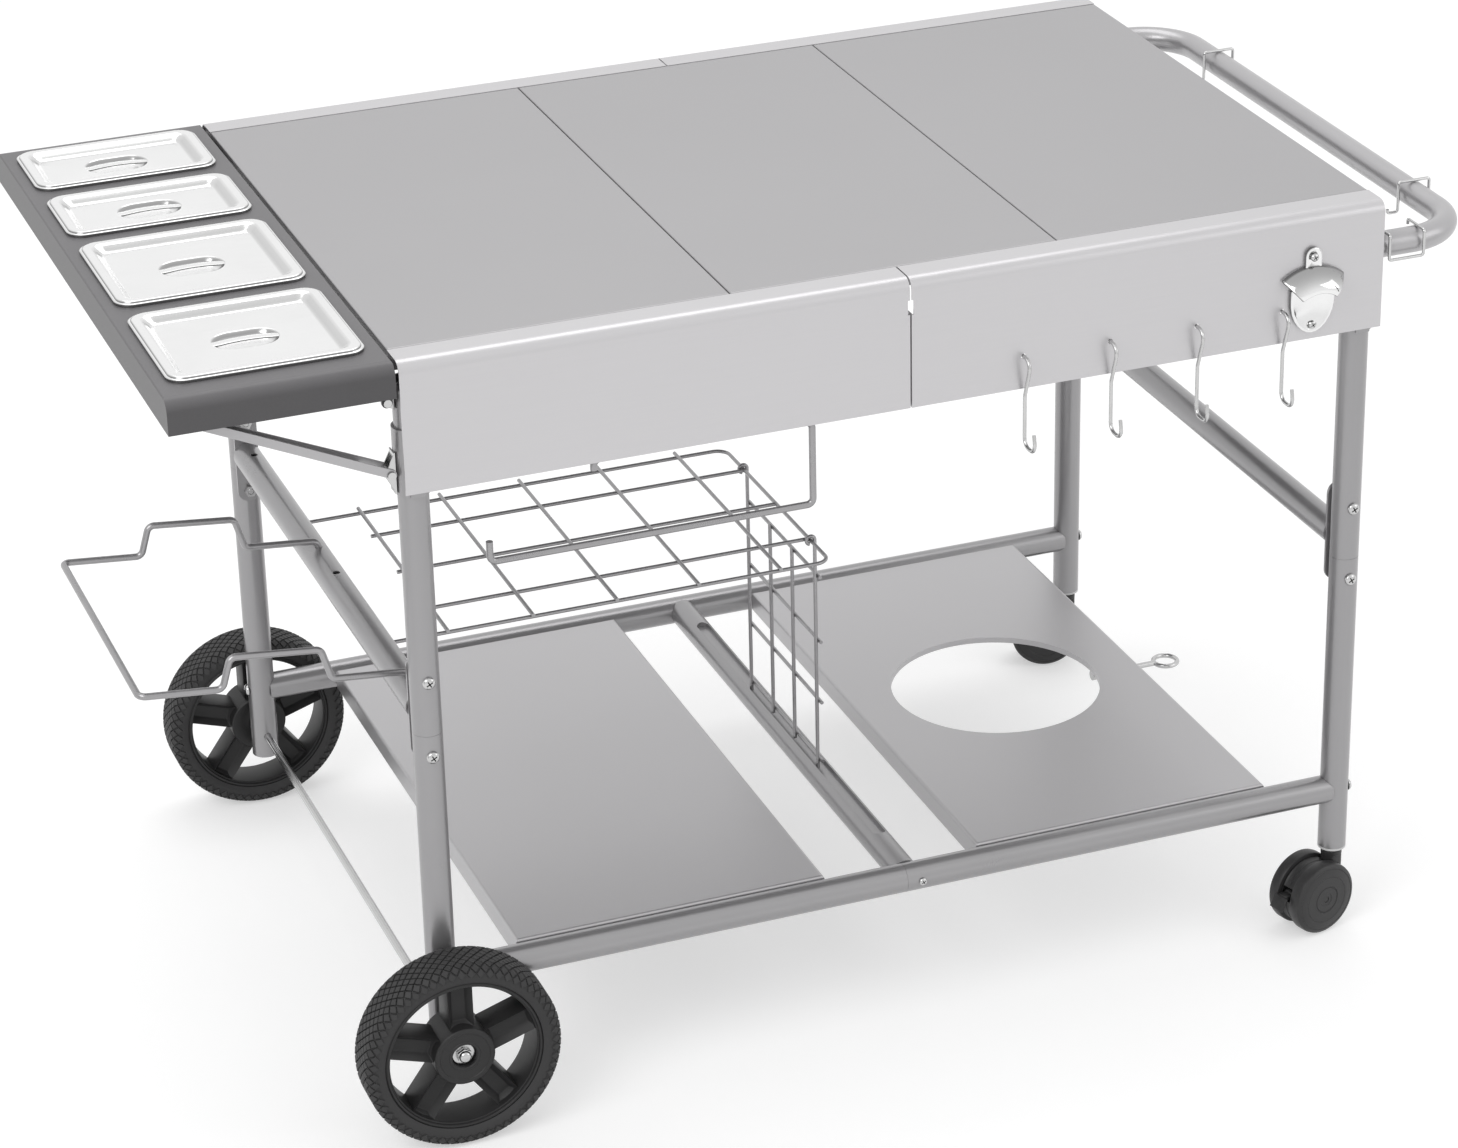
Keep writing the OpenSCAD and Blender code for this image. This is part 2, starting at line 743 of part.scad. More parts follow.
module towel() {
    bent([[x0 + towel_xs[0], -towel_y, towel_z - towel_stub], [x0 + towel_xs[0], -towel_y, towel_z],
        [x0 + towel_xs[1], -towel_y, towel_z], [x0 + towel_xs[1], -towel_y, towel_low],
        [x0 + towel_xs[2], -towel_y, towel_low], [x0 + towel_xs[2], -towel_y, towel_low + towel_tip]],
        holder_wire / 2, towel_bend);
}
// Height of the bag holder's arm at a distance out from its plug
function arm_z(out) = cross_z + bag_rest + out * bag_slope;
function bag_arm(y) = [[left_x, y, cross_z + tube_r - bag_plug], [left_x, y, arm_z(0)],
    [left_x - bag_bump_in, y, arm_z(bag_bump_in)],
    [left_x - bag_bump_in - bag_bump_slant, y, arm_z(bag_bump_in) + bag_step],
    [left_x - bag_bump_in - bag_bump_len, y, arm_z(bag_bump_len + bag_bump_in) + bag_step],
    [left_x - bag_bump_in - bag_bump_len - bag_bump_slant, y,
        arm_z(bag_bump_in + bag_bump_len + bag_bump_slant)]];
module bag() {
    corner_out = bag_reach - holder_wire / 2 + left_leg_in;
    first = bag_arm(bag_ys[0]);
    second = bag_arm(bag_ys[1]);
    corners = [for (y = bag_ys) [left_x - corner_out, y, arm_z(corner_out)]];
    swept(concat(first, corners, [for (i = [len(second) - 1 : -1 : 0]) second[i]]), holder_wire / 2,
        bag_bend, bag_sides, bag_steps);
}

// Large wheels, drawn at the back about their own axle
module at_wheel(front) {
    mirror([0, front ? 1 : 0, 0]) along_y(left_x, wheel_y - wheel_w / 2, wheel_r) children();
}
module tyre() {
    rotate_extrude() difference() {
        translate([tyre_in, 0]) square([wheel_r - tyre_in, wheel_w]);
        translate([wheel_r, 0]) mirror([1, 0]) rotate(-90) mirror([1, 0]) corner_waste(0, 0, tyre_round);
        translate([wheel_r, wheel_w]) mirror([1, 0]) corner_waste(0, 0, tyre_round);
    }
}
module spoke() {
    difference() {
        at(boss_r - spoke_root, -spoke_w / 2, (wheel_w - spoke_h) / 2)
            cube([tyre_in - hub_rim - boss_r + 2 * spoke_root, spoke_w, spoke_h]);
        for (z = [(wheel_w - spoke_h) / 2 - over, (wheel_w + spoke_h) / 2 - spoke_pocket_h])
            at(boss_r + spoke_pocket_in, -spoke_pocket_w / 2, z)
                cube([tyre_in - hub_rim - boss_r - 2 * spoke_pocket_in, spoke_pocket_w,
                    spoke_pocket_h + over]);
    }
}
module hub() {
    difference() {
        union() {
            at(0, 0, (wheel_w - hub_w) / 2) linear_extrude(hub_w) ring(tyre_in - seat, hub_rim);
            at(0, 0, (wheel_w - boss_w) / 2) cylinder(r = boss_r, h = boss_w);
            for (i = [0 : spokes - 1]) rotate(90 + i * 360 / spokes) spoke();
        }
        at(0, 0, -over) cylinder(r = axle_r + run, h = wheel_w + 2 * over);
        at(0, 0, (wheel_w + boss_w) / 2 - cup_h) cylinder(r = cup_r, h = cup_h + over);
    }
}
module axle_rod() {
    reach = wheel_y + boss_w / 2 - cup_h + cap_r + cap_step;
    along_y(left_x, -reach, wheel_r) cylinder(r = axle_r, h = 2 * reach);
}
module wheel_fasteners() {
    face = wheel_w / 2 + boss_w / 2 - cup_h;
    for (front = [false, true]) at_wheel(front) {
        at(0, 0, wheel_w / 2 - boss_w / 2 - seat) mirror([0, 0, 1]) difference() {
            cylinder(r = washer_r, h = wheel_y - boss_w / 2 - leg_y - tube_r - 2 * seat);
            at(0, 0, -over) cylinder(r = axle_r + run, h = wheel_w);
        }
        at(0, 0, face + seat) linear_extrude(washer_t) ring(washer_r, washer_r - axle_r - run);
        at(0, 0, face + 2 * seat + washer_t) difference() {
            union() {
                cylinder(r = cap_r, h = cap_r - cap_step);
                at(0, 0, cap_r - cap_step) domed_head(2 * (cap_r - cap_step), cap_r - 2 * cap_step);
            }
            at(0, 0, -over) cylinder(r = axle_r + run, h = cap_r + over);
        }
    }
}

// Casters, drawn at the back about the leg's own axis
module at_caster(front) {
    mirror([0, front ? 1 : 0, 0]) at(right_x, leg_y, 0) rotate([0, 0, -caster_turn]) children();
}
module caster_plugs() {
    for (front = [false, true]) at_caster(front) difference() {
        union() {
            at(0, 0, right_leg_end - plug_flange) cylinder(r = tube_r, h = plug_flange - seat);
            at(0, 0, right_leg_end - plug_flange) cylinder(r = tube_r - tube_wall - seat, h = stem_len);
        }
        at(0, 0, right_leg_end - plug_flange - over) cylinder(d = stem_d + 2 * run, h = stem_len + 2 * over);
    }
}
module caster_body() {
    difference() {
        union() {
            at(0, 0, caster_r)
                cylinder(d = stem_d, h = right_leg_end - plug_flange + stem_len - stem_short - caster_r);
            intersection() {
                at(0, 0, caster_r) cylinder(d = boss_d, h = boss_top - caster_r);
                at(-boss_d, -hood_w / 2, 0) cube([2 * boss_d, hood_w, 2 * caster_r]);
            }
            along_y(-caster_trail, -hood_w / 2, caster_r) cylinder(r = hood_r, h = hood_w);
            at(0, 0, boss_top - collar_h) cylinder(d = boss_d, h = collar_h);
        }
        along_y(-caster_trail, -hood_w, caster_r) cylinder(d = caster_axle_d + 2 * run, h = 2 * hood_w);
        at(-caster_trail + lever_in[0] - tube_d + lever_t, -hood_w, caster_r + lever_in[1] - lever_room)
            cube([tube_d, 2 * hood_w, 2 * lever_room]);
    }
    along_y(-caster_trail + lever_in[0], -hood_w / 2, caster_r + lever_in[1])
        cylinder(d = lever_pin, h = hood_w);
    at(-caster_trail + lever_in[0], 0, caster_r + lever_in[1])
        for (y = [-hood_w / 2, hood_w / 2 - cheek_t]) at(-lever_pin, y, -lever_pin)
            cube([lever_t + 2 * lever_pin, cheek_t, 2 * lever_pin]);
}
module caster_discs() {
    half = hood_w / 2 + disc_gap;
    for (s = [0, 1]) mirror([0, s, 0]) along_y(-caster_trail, half, caster_r) rotate_extrude() difference() {
        translate([caster_axle_d / 2 + run, 0]) square([caster_r - caster_axle_d / 2 - run, disc_w]);
        translate([caster_r, disc_w]) mirror([1, 0]) corner_waste(0, 0, disc_round);
    }
    along_y(-caster_trail, axle_in - half - disc_w, caster_r)
        cylinder(d = caster_axle_d, h = 2 * (half + disc_w - axle_in));
}
module brake_lever() {
    tab_half = hood_w / 2 - cheek_t - ear_gap;
    at(-caster_trail + lever_in[0], 0, caster_r + lever_in[1]) difference() {
        union() {
            along_y(0, -tab_half, 0) cylinder(d = lever_eye_d, h = 2 * tab_half);
            at(-lever_neck, -tab_half, -lever_t / 2) cube([lever_neck, 2 * tab_half, lever_t]);
            at(-lever_neck, 0, lever_t / 2) rotate([0, -tab_bend, 0])
                at(-tab_len, -lever_w / 2, -tab_t) cube([tab_len, lever_w, tab_t]);
        }
        along_y(0, -hood_w, 0) cylinder(d = lever_pin + 2 * run, h = 2 * hood_w);
    }
}

// Handle and hangers
module handle_tube() {
    end_x = right_x + saddle_lap;
    difference() {
        union() {
            bent([[end_x, -leg_y, handle_z], [handle_x, -leg_y, handle_z], [handle_x, leg_y, handle_z],
                [end_x, leg_y, handle_z]], handle_r, handle_bend, handle_wall);
            both_sides() along_x(end_x, leg_y, handle_z)
                cylinder(r = handle_r - handle_wall / 2, h = tube_r - saddle_lap + handle_plug);
        }
        both_sides() at(right_x, leg_y, handle_z - tube_d) cylinder(r = tube_r + seat, h = 2 * tube_d);
        both_sides() along_x(right_x, leg_y, handle_z) cylinder(d = bolt_d + 2 * seat, h = 2 * tube_d);
    }
}
module hanger(y) {
    top = handle_z + handle_r + hanger_wire / 2 + seat;
    bent([[handle_x + hanger_half, y, top - hanger_tail], [handle_x + hanger_half, y, top],
        [handle_x - hanger_half, y, top], [handle_x - hanger_half, y, top - hanger_leg],
        [handle_x - hanger_half - hanger_toe, y, top - hanger_leg],
        [handle_x - hanger_half - hanger_toe, y, top - hanger_leg + hanger_tip]],
        hanger_wire / 2, hanger_bend);
}
module double_hanger() {
    top = handle_z + handle_r + hanger_wire / 2 + seat;
    half = handle_r + hanger_wire / 2 + corner_slack;
    bent([for (s = [0, 1]) for (p = s == 0 ?
        [[half, top - corner_tail], [half, top], [-half, top], [-half, top - corner_leg]] :
        [[-half, top - corner_leg], [-half, top], [half, top], [half, top - corner_tail]])
        [corner_x + s * corner_w, -leg_y + p[0], p[1]]], hanger_wire / 2, hanger_bend);
}

// Bottle opener, drawn flat in its front view and turned onto the apron
module opener_front() {
    translate([0, -ear_drop]) circle(ear_r);
    translate([-neck_w / 2, -shield_drop]) square([neck_w, shield_drop - ear_drop]);
    intersection() {
        translate([0, -shield_drop]) circle(shield_r + shield_swell);
        translate([-shield_r, -shield_drop - 2 * shield_r]) square([2 * shield_r, 2 * shield_r + shield_top]);
    }
}
module hood_front() {
    translate([0, -hood_centre]) intersection() {
        difference() {
            circle(hood_top_r);
            circle(hood_low_r);
        }
        polygon([[0, 0], [-2 * hood_top_r * sin(hood_half), 2 * hood_top_r * cos(hood_half)],
            [2 * hood_top_r * sin(hood_half), 2 * hood_top_r * cos(hood_half)]]);
    }
}
// Side view of the hood: a sheet that curves out from the plate to its lip
module hood_side() {
    r = hood_out + opener_t;
    translate([0, -hood_centre + hood_low_r]) intersection() {
        difference() {
            circle(r);
            circle(r - opener_t);
        }
        translate([-over - r, -over]) square([r + over, 2 * r]);
    }
}
module opener() {
    face = -half_d - apron_out - seat;
    at(opener_x, face, table_h) rotate([90, 0, 0]) difference() {
        union() {
            linear_extrude(opener_t) opener_front();
            intersection() {
                linear_extrude(hood_out + opener_t + over) hood_front();
                at(-hood_top_r, 0, 0) rotate([0, 90, 0]) linear_extrude(2 * hood_top_r) hood_side();
            }
        }
        for (z = opener_screws) at(0, -z, -over) cylinder(d = screw_d + 2 * seat, h = opener_t + 2 * over);
    }
}
module hook(i) {
    swept([for (s = hook_shares) [hook_xs[i], -half_d - apron_out + sheet / 2 - s[0] * hook_w,
        table_h - hook_drop + s[1] * hook_h]], hook_wire / 2, hook_bend, hook_sides, hook_steps);
}

// Side tray, its struts and brackets
function pan_y(i) = first_pan_y + total(pan_widths, i) + i * pan_web + pan_widths[i] / 2;
module strut_frame(front) {
    mirror([0, front ? 1 : 0, 0]) at(pivot_x, leg_y, strut_z)
        rotate([0, 180 + strut_angle, 0]) mirror([0, 0, 1])
        children();
}
module tray() {
    difference() {
        union() {
            at(tray_left, -tray_half, table_h - tray_skirt) difference() {
                pan_block(tray_len, 2 * tray_half, tray_skirt, fold_r, fold_r, tray_bend);
                at(sheet, sheet, -over) pan_block(tray_len - 2 * sheet, 2 * (tray_half - sheet),
                    tray_skirt - sheet + over, fold_r - sheet, fold_r - sheet, tray_bend - sheet);
                at(tray_len - over, tray_bend, -over)
                    cube([2 * over, 2 * (tray_half - tray_bend), tray_skirt - tray_lip + over]);
            }
            both_sides() for (s = [-1, 1]) hinge_lug(s);
            both_sides() strut_catch();
        }
        for (i = [0 : pan_count - 1]) at(pan_x, pan_y(i), table_h - sheet - over)
            rounded_slab(pan_len - 2 * pan_rim, pan_widths[i] - 2 * pan_rim, pan_round, sheet + 2 * over);
        along_y(pivot_x, -leg_y - bracket_w, pivot_z)
            cylinder(d = pin_d + 2 * run, h = 2 * (leg_y + bracket_w));
    }
}
module hinge_lug(s) {
    lug_y = leg_y + s * (bracket_w / 2 + ear_gap + bracket_t / 2);
    along_y(pivot_x, lug_y - bracket_t / 2, pivot_z) cylinder(r = pin_d, h = bracket_t);
    at(pivot_x - pin_d, lug_y - bracket_t / 2, pivot_z)
        cube([2 * pin_d, bracket_t, table_h - sheet / 2 - pivot_z]);
}
module strut_catch() {
    foot_z = strut_z + (strut_len - catch_in) * sin(strut_angle) + strut_high / cos(strut_angle)
        + catch_len / 2 * tan(strut_angle) + catch_gap;
    at(pivot_x - (strut_len - catch_in) * cos(strut_angle) - catch_len / 2, leg_y - catch_w / 2, foot_z) {
        cube([catch_len, catch_w, sheet]);
        cube([catch_len, sheet, table_h - sheet / 2 - foot_z]);
        at(0, catch_w - sheet, 0) cube([catch_len, sheet, table_h - sheet / 2 - foot_z]);
    }
}
module bracket_cheeks(x_face, z_pivot, reach_up, reach_down) {
    for (s = [-1, 1]) along_y(0, leg_y + s * (bracket_w / 2 - bracket_t / 2) - bracket_t / 2, 0)
        linear_extrude(bracket_t) {
            translate([pivot_x, -z_pivot]) circle(r = pin_d);
            polygon([[x_face, -z_pivot - reach_up], [x_face, -z_pivot + reach_down],
                [pivot_x - pin_d * nose_share[0], -z_pivot + pin_d * nose_share[1]],
                [pivot_x - pin_d * nose_share[0], -z_pivot - pin_d * nose_share[1]]]);
        }
}
module brackets() {
    leg_face = left_x - tube_r - seat;
    socket_face = leg_face - socket_wall;
    both_sides() {
        difference() {
            union() {
                bracket_cheeks(leg_face, pivot_z, hinge_up, hinge_down);
                at(leg_face - bracket_t, leg_y - bracket_w / 2, pivot_z - hinge_down)
                    cube([bracket_t, bracket_w, hinge_up + hinge_down]);
            }
            along_y(pivot_x, leg_y - bracket_w, pivot_z) cylinder(d = pin_d + 2 * run, h = 2 * bracket_w);
        }
        difference() {
            union() {
                bracket_cheeks(socket_face, strut_z, bracket_top, bracket_foot);
                at(socket_face - bracket_t, leg_y - bracket_w / 2, strut_z - bracket_foot)
                    cube([bracket_t, bracket_w, bracket_foot + bracket_top]);
            }
            along_y(pivot_x, leg_y - bracket_w, strut_z) cylinder(d = pin_d + 2 * run, h = 2 * bracket_w);
        }
    }
}
module pins() {
    half = bracket_w / 2 + ear_gap + bracket_t + pin_end;
    both_sides() for (z = [pivot_z, strut_z]) along_y(pivot_x, leg_y, z) {
        at(0, 0, -half - pin_head_h) cylinder(d = pin_d, h = 2 * (half + pin_head_h));
        for (e = [-half - pin_head_h, half]) at(0, 0, e) cylinder(d = pin_head_d, h = pin_head_h);
    }
}
// A channel that narrows to its tip, with an open fork at its pivot
module strut(front) {
    half = bracket_w / 2 + ear_gap + strut_t;
    tip = strut_tip_w / 2;
    strut_frame(front) difference() {
        intersection() {
            at(0, 0, -strut_low) linear_extrude(strut_low + strut_high)
                polygon([[-pin_d, -half], [strut_open, -half], [strut_len, -tip], [strut_len, tip],
                    [strut_open, half], [-pin_d, half]]);
            along_y(0, -half, 0) linear_extrude(2 * half) {
                circle(r = pin_d);
                translate([0, -strut_high]) square([strut_len, strut_low + strut_high]);
            }
        }
        at(0, 0, -strut_low + strut_t) linear_extrude(strut_low + strut_high)
            polygon([[strut_open, strut_t - half], [strut_len - strut_t, strut_t - tip],
                [strut_len - strut_t, tip - strut_t], [strut_open, half - strut_t]]);
        at(-2 * pin_d, -half + strut_t, -strut_high - pin_d)
            cube([2 * pin_d + strut_open, 2 * (half - strut_t), 2 * (strut_high + pin_d)]);
        along_y(0, -leg_y, 0) cylinder(d = pin_d + 2 * run, h = 2 * leg_y);
    }
}

// Pans and lids
module rounded_slab(l, w, r, h) linear_extrude(h) rounded_rect(l, w, r);
// A tapered form from a height over the rim down to its floor
module pan_form(l, w, top, deep, r) {
    grow = pan_taper * top / pan_depth;
    shrink = pan_taper * deep / pan_depth;
    hull() {
        at(0, 0, top) linear_extrude(slice) rounded_rect(l + 2 * grow, w + 2 * grow, r, $fn = 32);
        at(0, 0, -deep) linear_extrude(slice) rounded_rect(l - 2 * shrink, w - 2 * shrink, r, $fn = 32);
    }
}
module pan(i) {
    l = pan_len - 2 * (pan_rim + pan_fit);
    w = pan_widths[i] - 2 * (pan_rim + pan_fit);
    at(pan_x, pan_y(i), table_h + seat) difference() {
        union() {
            rounded_slab(pan_len, pan_widths[i], pan_round, rim_t);
            pan_form(l, w, rim_t / 2, pan_depth, pan_round - pan_t);
        }
        pan_form(l - 2 * pan_t, w - 2 * pan_t, rim_t + over, pan_depth - pan_t, pan_round - 2 * pan_t);
    }
}
module lid(i) {
    l = pan_len;
    w = pan_widths[i];
    base = table_h + 2 * seat + rim_t;
    floor_l = l - 2 * lid_flat;
    floor_w = w - 2 * lid_flat;
    at(pan_x, pan_y(i), base) {
        difference() {
            union() {
                rounded_slab(l, w, pan_round, lid_bead);
                at(0, 0, -lid_drop) rounded_slab(floor_l, floor_w, lid_round, lid_drop + lap);
                at(0, 0, -lid_drop - cup_deep) rounded_slab(cup_len, cup_w, cup_round, cup_deep + lap);
            }
            at(0, 0, pan_t) rounded_slab(l - 2 * lid_bead, w - 2 * lid_bead, pan_round - lid_bead, lid_bead);
            at(0, 0, -lid_drop + pan_t)
                rounded_slab(floor_l - 2 * pan_t, floor_w - 2 * pan_t, lid_round - pan_t,
                    lid_drop + lid_bead);
            at(0, 0, -lid_drop - cup_deep + pan_t)
                rounded_slab(cup_len - 2 * pan_t, cup_w - 2 * pan_t, cup_round - pan_t, cup_deep + lid_bead);
        }
        at(-cup_len / 2 + pan_t / 2, -bar_w / 2, -lid_drop - bar_t + pan_t)
            cube([cup_len - pan_t, bar_w, bar_t]);
    }
}

// One module for each node
module left_panel() color("#b4b3b6") panel(0);
module middle_panel() color("#b4b3b6") panel(1);
module right_panel() color("#b4b3b6") panel(2);
module front_left_apron() color("#b9b8bb") mirror([0, 1, 0]) left_apron();
module front_right_apron() color("#b9b8bb") front_right();
module back_aprons() color("#b9b8bb") {
    left_apron();
    right_apron();
}
module leg_sockets() color("#c4c3c6") sockets();
module upper_legs() color("#a6a5a9") for (x = [left_x, right_x]) both_sides() upper_leg(x);
module lower_legs() color("#a6a5a9") both_sides() {
    lower_leg(left_x, left_leg_end);
    lower_leg(right_x, right_leg_end);
}
module left_cross_tube() color("#a6a5a9") left_cross();
module right_cross_tube() color("#a6a5a9") cross_tube(right_x);
module frame_bolts() color("#d5d5d8") bolts();
module frame_nuts() color("#d5d5d8") nuts();
module front_rails() color("#a6a5a9") mirror([0, 1, 0]) rails();
module back_rails() color("#a6a5a9") rails();
module middle_tube() color("#a6a5a9") middle();
module left_shelf() color("#aaa9ad") shelf(x0 + left_shelf_in);
module right_shelf() color("#aaa9ad") tank_shelf();
module small_screws() color("#d5d5d8") screws();
module eyebolt() color("#d5d5d8") eye();
module wire_rack() color("#8f8e92") rack();
module wire_grid() color("#8f8e92") grid();
module towel_bar() color("#8f8e92") towel();
module bag_holder() color("#7d7c80") bag();
module axle() color("#c9c9cc") axle_rod();
module wheel_nuts() color("#c9c9cc") wheel_fasteners();
module front_tyre() color("#2b2b2d") at_wheel(true) tyre();
module back_tyre() color("#2b2b2d") at_wheel(false) tyre();
module front_hub() color("#333335") at_wheel(true) hub();
module back_hub() color("#333335") at_wheel(false) hub();
module caster_sockets() color("#dcdcde") caster_plugs();
module front_caster_body() color("#2b2b2d") at_caster(true) caster_body();
module back_caster_body() color("#2b2b2d") at_caster(false) caster_body();
module front_caster_wheels() color("#39393b") at_caster(true) caster_discs();
module back_caster_wheels() color("#39393b") at_caster(false) caster_discs();
module front_brake_lever() color("#2b2b2d") at_caster(true) brake_lever();
module back_brake_lever() color("#2b2b2d") at_caster(false) brake_lever();
module handle() color("#a6a5a9") handle_tube();
module back_hanger() color("#b5b5b8") hanger(hanger_ys[0]);
module front_hanger() color("#b5b5b8") hanger(hanger_ys[1]);
module corner_hanger() color("#b5b5b8") double_hanger();
module bottle_opener() color("#e6e6e8") opener();
module first_hook() color("#d0d0d3") hook(0);
module second_hook() color("#d0d0d3") hook(1);
module third_hook() color("#d0d0d3") hook(2);
module fourth_hook() color("#d0d0d3") hook(3);
module side_tray() color("#535155") tray();
module tray_brackets() color("#d9d8db") brackets();
module tray_pins() color("#d9d8db") pins();
module front_strut() color("#bdbcc0") strut(true);
module back_strut() color("#bdbcc0") strut(false);
module first_pan() color("#dededf") pan(0);
module second_pan() color("#dededf") pan(1);
module third_pan() color("#dededf") pan(2);
module fourth_pan() color("#dededf") pan(3);
module first_lid() color("#ededee") lid(0);
module second_lid() color("#ededee") lid(1);
module third_lid() color("#ededee") lid(2);
module fourth_lid() color("#ededee") lid(3);

left_panel();
middle_panel();
right_panel();
front_left_apron();
front_right_apron();
back_aprons();
leg_sockets();
upper_legs();
lower_legs();
left_cross_tube();
right_cross_tube();
frame_bolts();
frame_nuts();
front_rails();
back_rails();
middle_tube();
left_shelf();
right_shelf();
small_screws();
eyebolt();
wire_rack();
wire_grid();
towel_bar();
bag_holder();
axle();
wheel_nuts();
front_tyre();
back_tyre();
front_hub();
back_hub();
caster_sockets();
front_caster_body();
back_caster_body();
front_caster_wheels();
back_caster_wheels();
front_brake_lever();
back_brake_lever();
handle();
back_hanger();
front_hanger();
corner_hanger();
bottle_opener();
first_hook();
second_hook();
third_hook();
fourth_hook();
side_tray();
tray_brackets();
tray_pins();
front_strut();
back_strut();
first_pan();
second_pan();
third_pan();
fourth_pan();
first_lid();
second_lid();
third_lid();
fourth_lid();
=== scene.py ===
"""Grill prep cart: finishes, wheels, casters, lids, opener, hooks and fasteners round the frame."""
from math import cos, pi, radians, sin, tan

import bmesh
import bpy
from mathutils import Matrix, Vector


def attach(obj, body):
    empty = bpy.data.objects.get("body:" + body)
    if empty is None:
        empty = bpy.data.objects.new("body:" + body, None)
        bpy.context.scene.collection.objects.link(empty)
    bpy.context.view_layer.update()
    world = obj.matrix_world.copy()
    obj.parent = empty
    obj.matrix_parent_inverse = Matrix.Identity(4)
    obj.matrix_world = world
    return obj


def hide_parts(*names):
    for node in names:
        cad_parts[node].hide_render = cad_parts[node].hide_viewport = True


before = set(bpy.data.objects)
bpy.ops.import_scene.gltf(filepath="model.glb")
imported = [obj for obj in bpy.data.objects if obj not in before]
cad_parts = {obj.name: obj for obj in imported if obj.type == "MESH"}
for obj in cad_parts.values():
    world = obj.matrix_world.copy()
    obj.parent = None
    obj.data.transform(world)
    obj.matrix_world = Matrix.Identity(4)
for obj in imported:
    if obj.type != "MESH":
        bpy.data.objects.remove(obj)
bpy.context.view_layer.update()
scene = bpy.context.scene
MM = 0.001
WELD = 0.001 * MM

# Places of the object, in millimetres, as in its source
TOP_LEFT = -416.5
TOP_Z = 770.0
LEFT_LEG_X = TOP_LEFT + 12
RIGHT_LEG_X = TOP_LEFT + 938.5
LEG_Y = 316.0
TUBE_FACE = 14.2
JOINT_BOLT_HEIGHTS = (457, 382)
RAIL_Z = 147
HANDLE_Z = 719.5
SPLICE_X = TOP_LEFT + 490
SHELF_LIP_Y = 300.4
SHELF_STARTS = (90, 558)
SHELF_SCREWS_IN = (60, 250)
OPENER_X = TOP_LEFT + 881.5
OPENER_SCREW_DROPS = (42, 109)
OPENER_FOOT_Y = -335.2
OPENER_SCREW_Y = -339.4
HOOK_HOLE_Y = -334.4
HOOK_HOLE_Z = 677
WHEEL_R = 95.0
WHEEL_Y = 359.0
CASTER_R = 37.5
CASTER_TRAIL = 25.5
CASTER_TURN = radians(15)
DISC_IN = 8.6
LEVER_PIN_X = -52.5
LEVER_PIN_Z = 43.5
PAN_X = TOP_LEFT - 105
PANS = [("first", -221, 162), ("second", -35, 162), ("third", 124, 108), ("fourth", 256, 108)]
HOOKS = [("first", 589), ("second", 676), ("third", 764), ("fourth", 852)]
SIDES = [("front", -1), ("back", 1)]


# Materials
def output_socket(tree, name, kind):
    tree.interface.new_socket(name, in_out="OUTPUT", socket_type=kind)


def input_socket(tree, name, kind, value):
    socket = tree.interface.new_socket(name, in_out="INPUT", socket_type=kind)
    socket.default_value = value


def add_node(tree, kind, **settings):
    node = tree.nodes.new(kind)
    for key, value in settings.items():
        setattr(node, key, value)
    return node


def set_inputs(node, values):
    for key, value in values.items():
        node.inputs[key].default_value = value


def mottle_group():
    """Two tones that drift into each other, a roughness that drifts with them, and a fine grain."""
    tree = bpy.data.node_groups.new("Mottled finish", "ShaderNodeTree")
    input_socket(tree, "Light tone", "NodeSocketColor", (0.5, 0.5, 0.5, 1))
    input_socket(tree, "Dark tone", "NodeSocketColor", (0.4, 0.4, 0.4, 1))
    input_socket(tree, "Stretch", "NodeSocketVector", (1, 1, 1))
    input_socket(tree, "Drift scale", "NodeSocketFloat", 6)
    input_socket(tree, "Grain scale", "NodeSocketFloat", 900)
    input_socket(tree, "Smooth", "NodeSocketFloat", 0.3)
    input_socket(tree, "Rough", "NodeSocketFloat", 0.4)
    output_socket(tree, "Colour", "NodeSocketColor")
    output_socket(tree, "Roughness", "NodeSocketFloat")
    output_socket(tree, "Grain", "NodeSocketFloat")
    given = add_node(tree, "NodeGroupInput")
    result = add_node(tree, "NodeGroupOutput")
    place = add_node(tree, "ShaderNodeTexCoord")
    stretched = add_node(tree, "ShaderNodeVectorMath", operation="MULTIPLY")
    drift = add_node(tree, "ShaderNodeTexNoise")
    grain = add_node(tree, "ShaderNodeTexNoise")
    set_inputs(drift, {"Detail": 4.0, "Roughness": 0.55})
    set_inputs(grain, {"Detail": 3.0, "Roughness": 0.6})
    mask = add_node(tree, "ShaderNodeMath", operation="MULTIPLY_ADD")
    set_inputs(mask, {1: 0.55, 2: 0.0})
    both = add_node(tree, "ShaderNodeMath", operation="MULTIPLY_ADD")
    set_inputs(both, {1: 0.45})
    tones = add_node(tree, "ShaderNodeMix", data_type="RGBA")
    rough = add_node(tree, "ShaderNodeMix", data_type="FLOAT")
    link = tree.links.new
    link(place.outputs["Object"], stretched.inputs[0])
    link(given.outputs["Stretch"], stretched.inputs[1])
    link(place.outputs["Object"], drift.inputs["Vector"])
    link(given.outputs["Drift scale"], drift.inputs["Scale"])
    link(stretched.outputs[0], grain.inputs["Vector"])
    link(given.outputs["Grain scale"], grain.inputs["Scale"])
    link(drift.outputs["Fac"], mask.inputs[0])
    link(grain.outputs["Fac"], both.inputs[0])
    link(mask.outputs[0], both.inputs[2])
    link(both.outputs[0], tones.inputs["Factor"])
    link(given.outputs["Dark tone"], tones.inputs["A"])
    link(given.outputs["Light tone"], tones.inputs["B"])
    link(both.outputs[0], rough.inputs["Factor"])
    link(given.outputs["Smooth"], rough.inputs["A"])
    link(given.outputs["Rough"], rough.inputs["B"])
    link(tones.outputs["Result"], result.inputs["Colour"])
    link(rough.outputs["Result"], result.inputs["Roughness"])
    link(grain.outputs["Fac"], result.inputs["Grain"])
    return tree


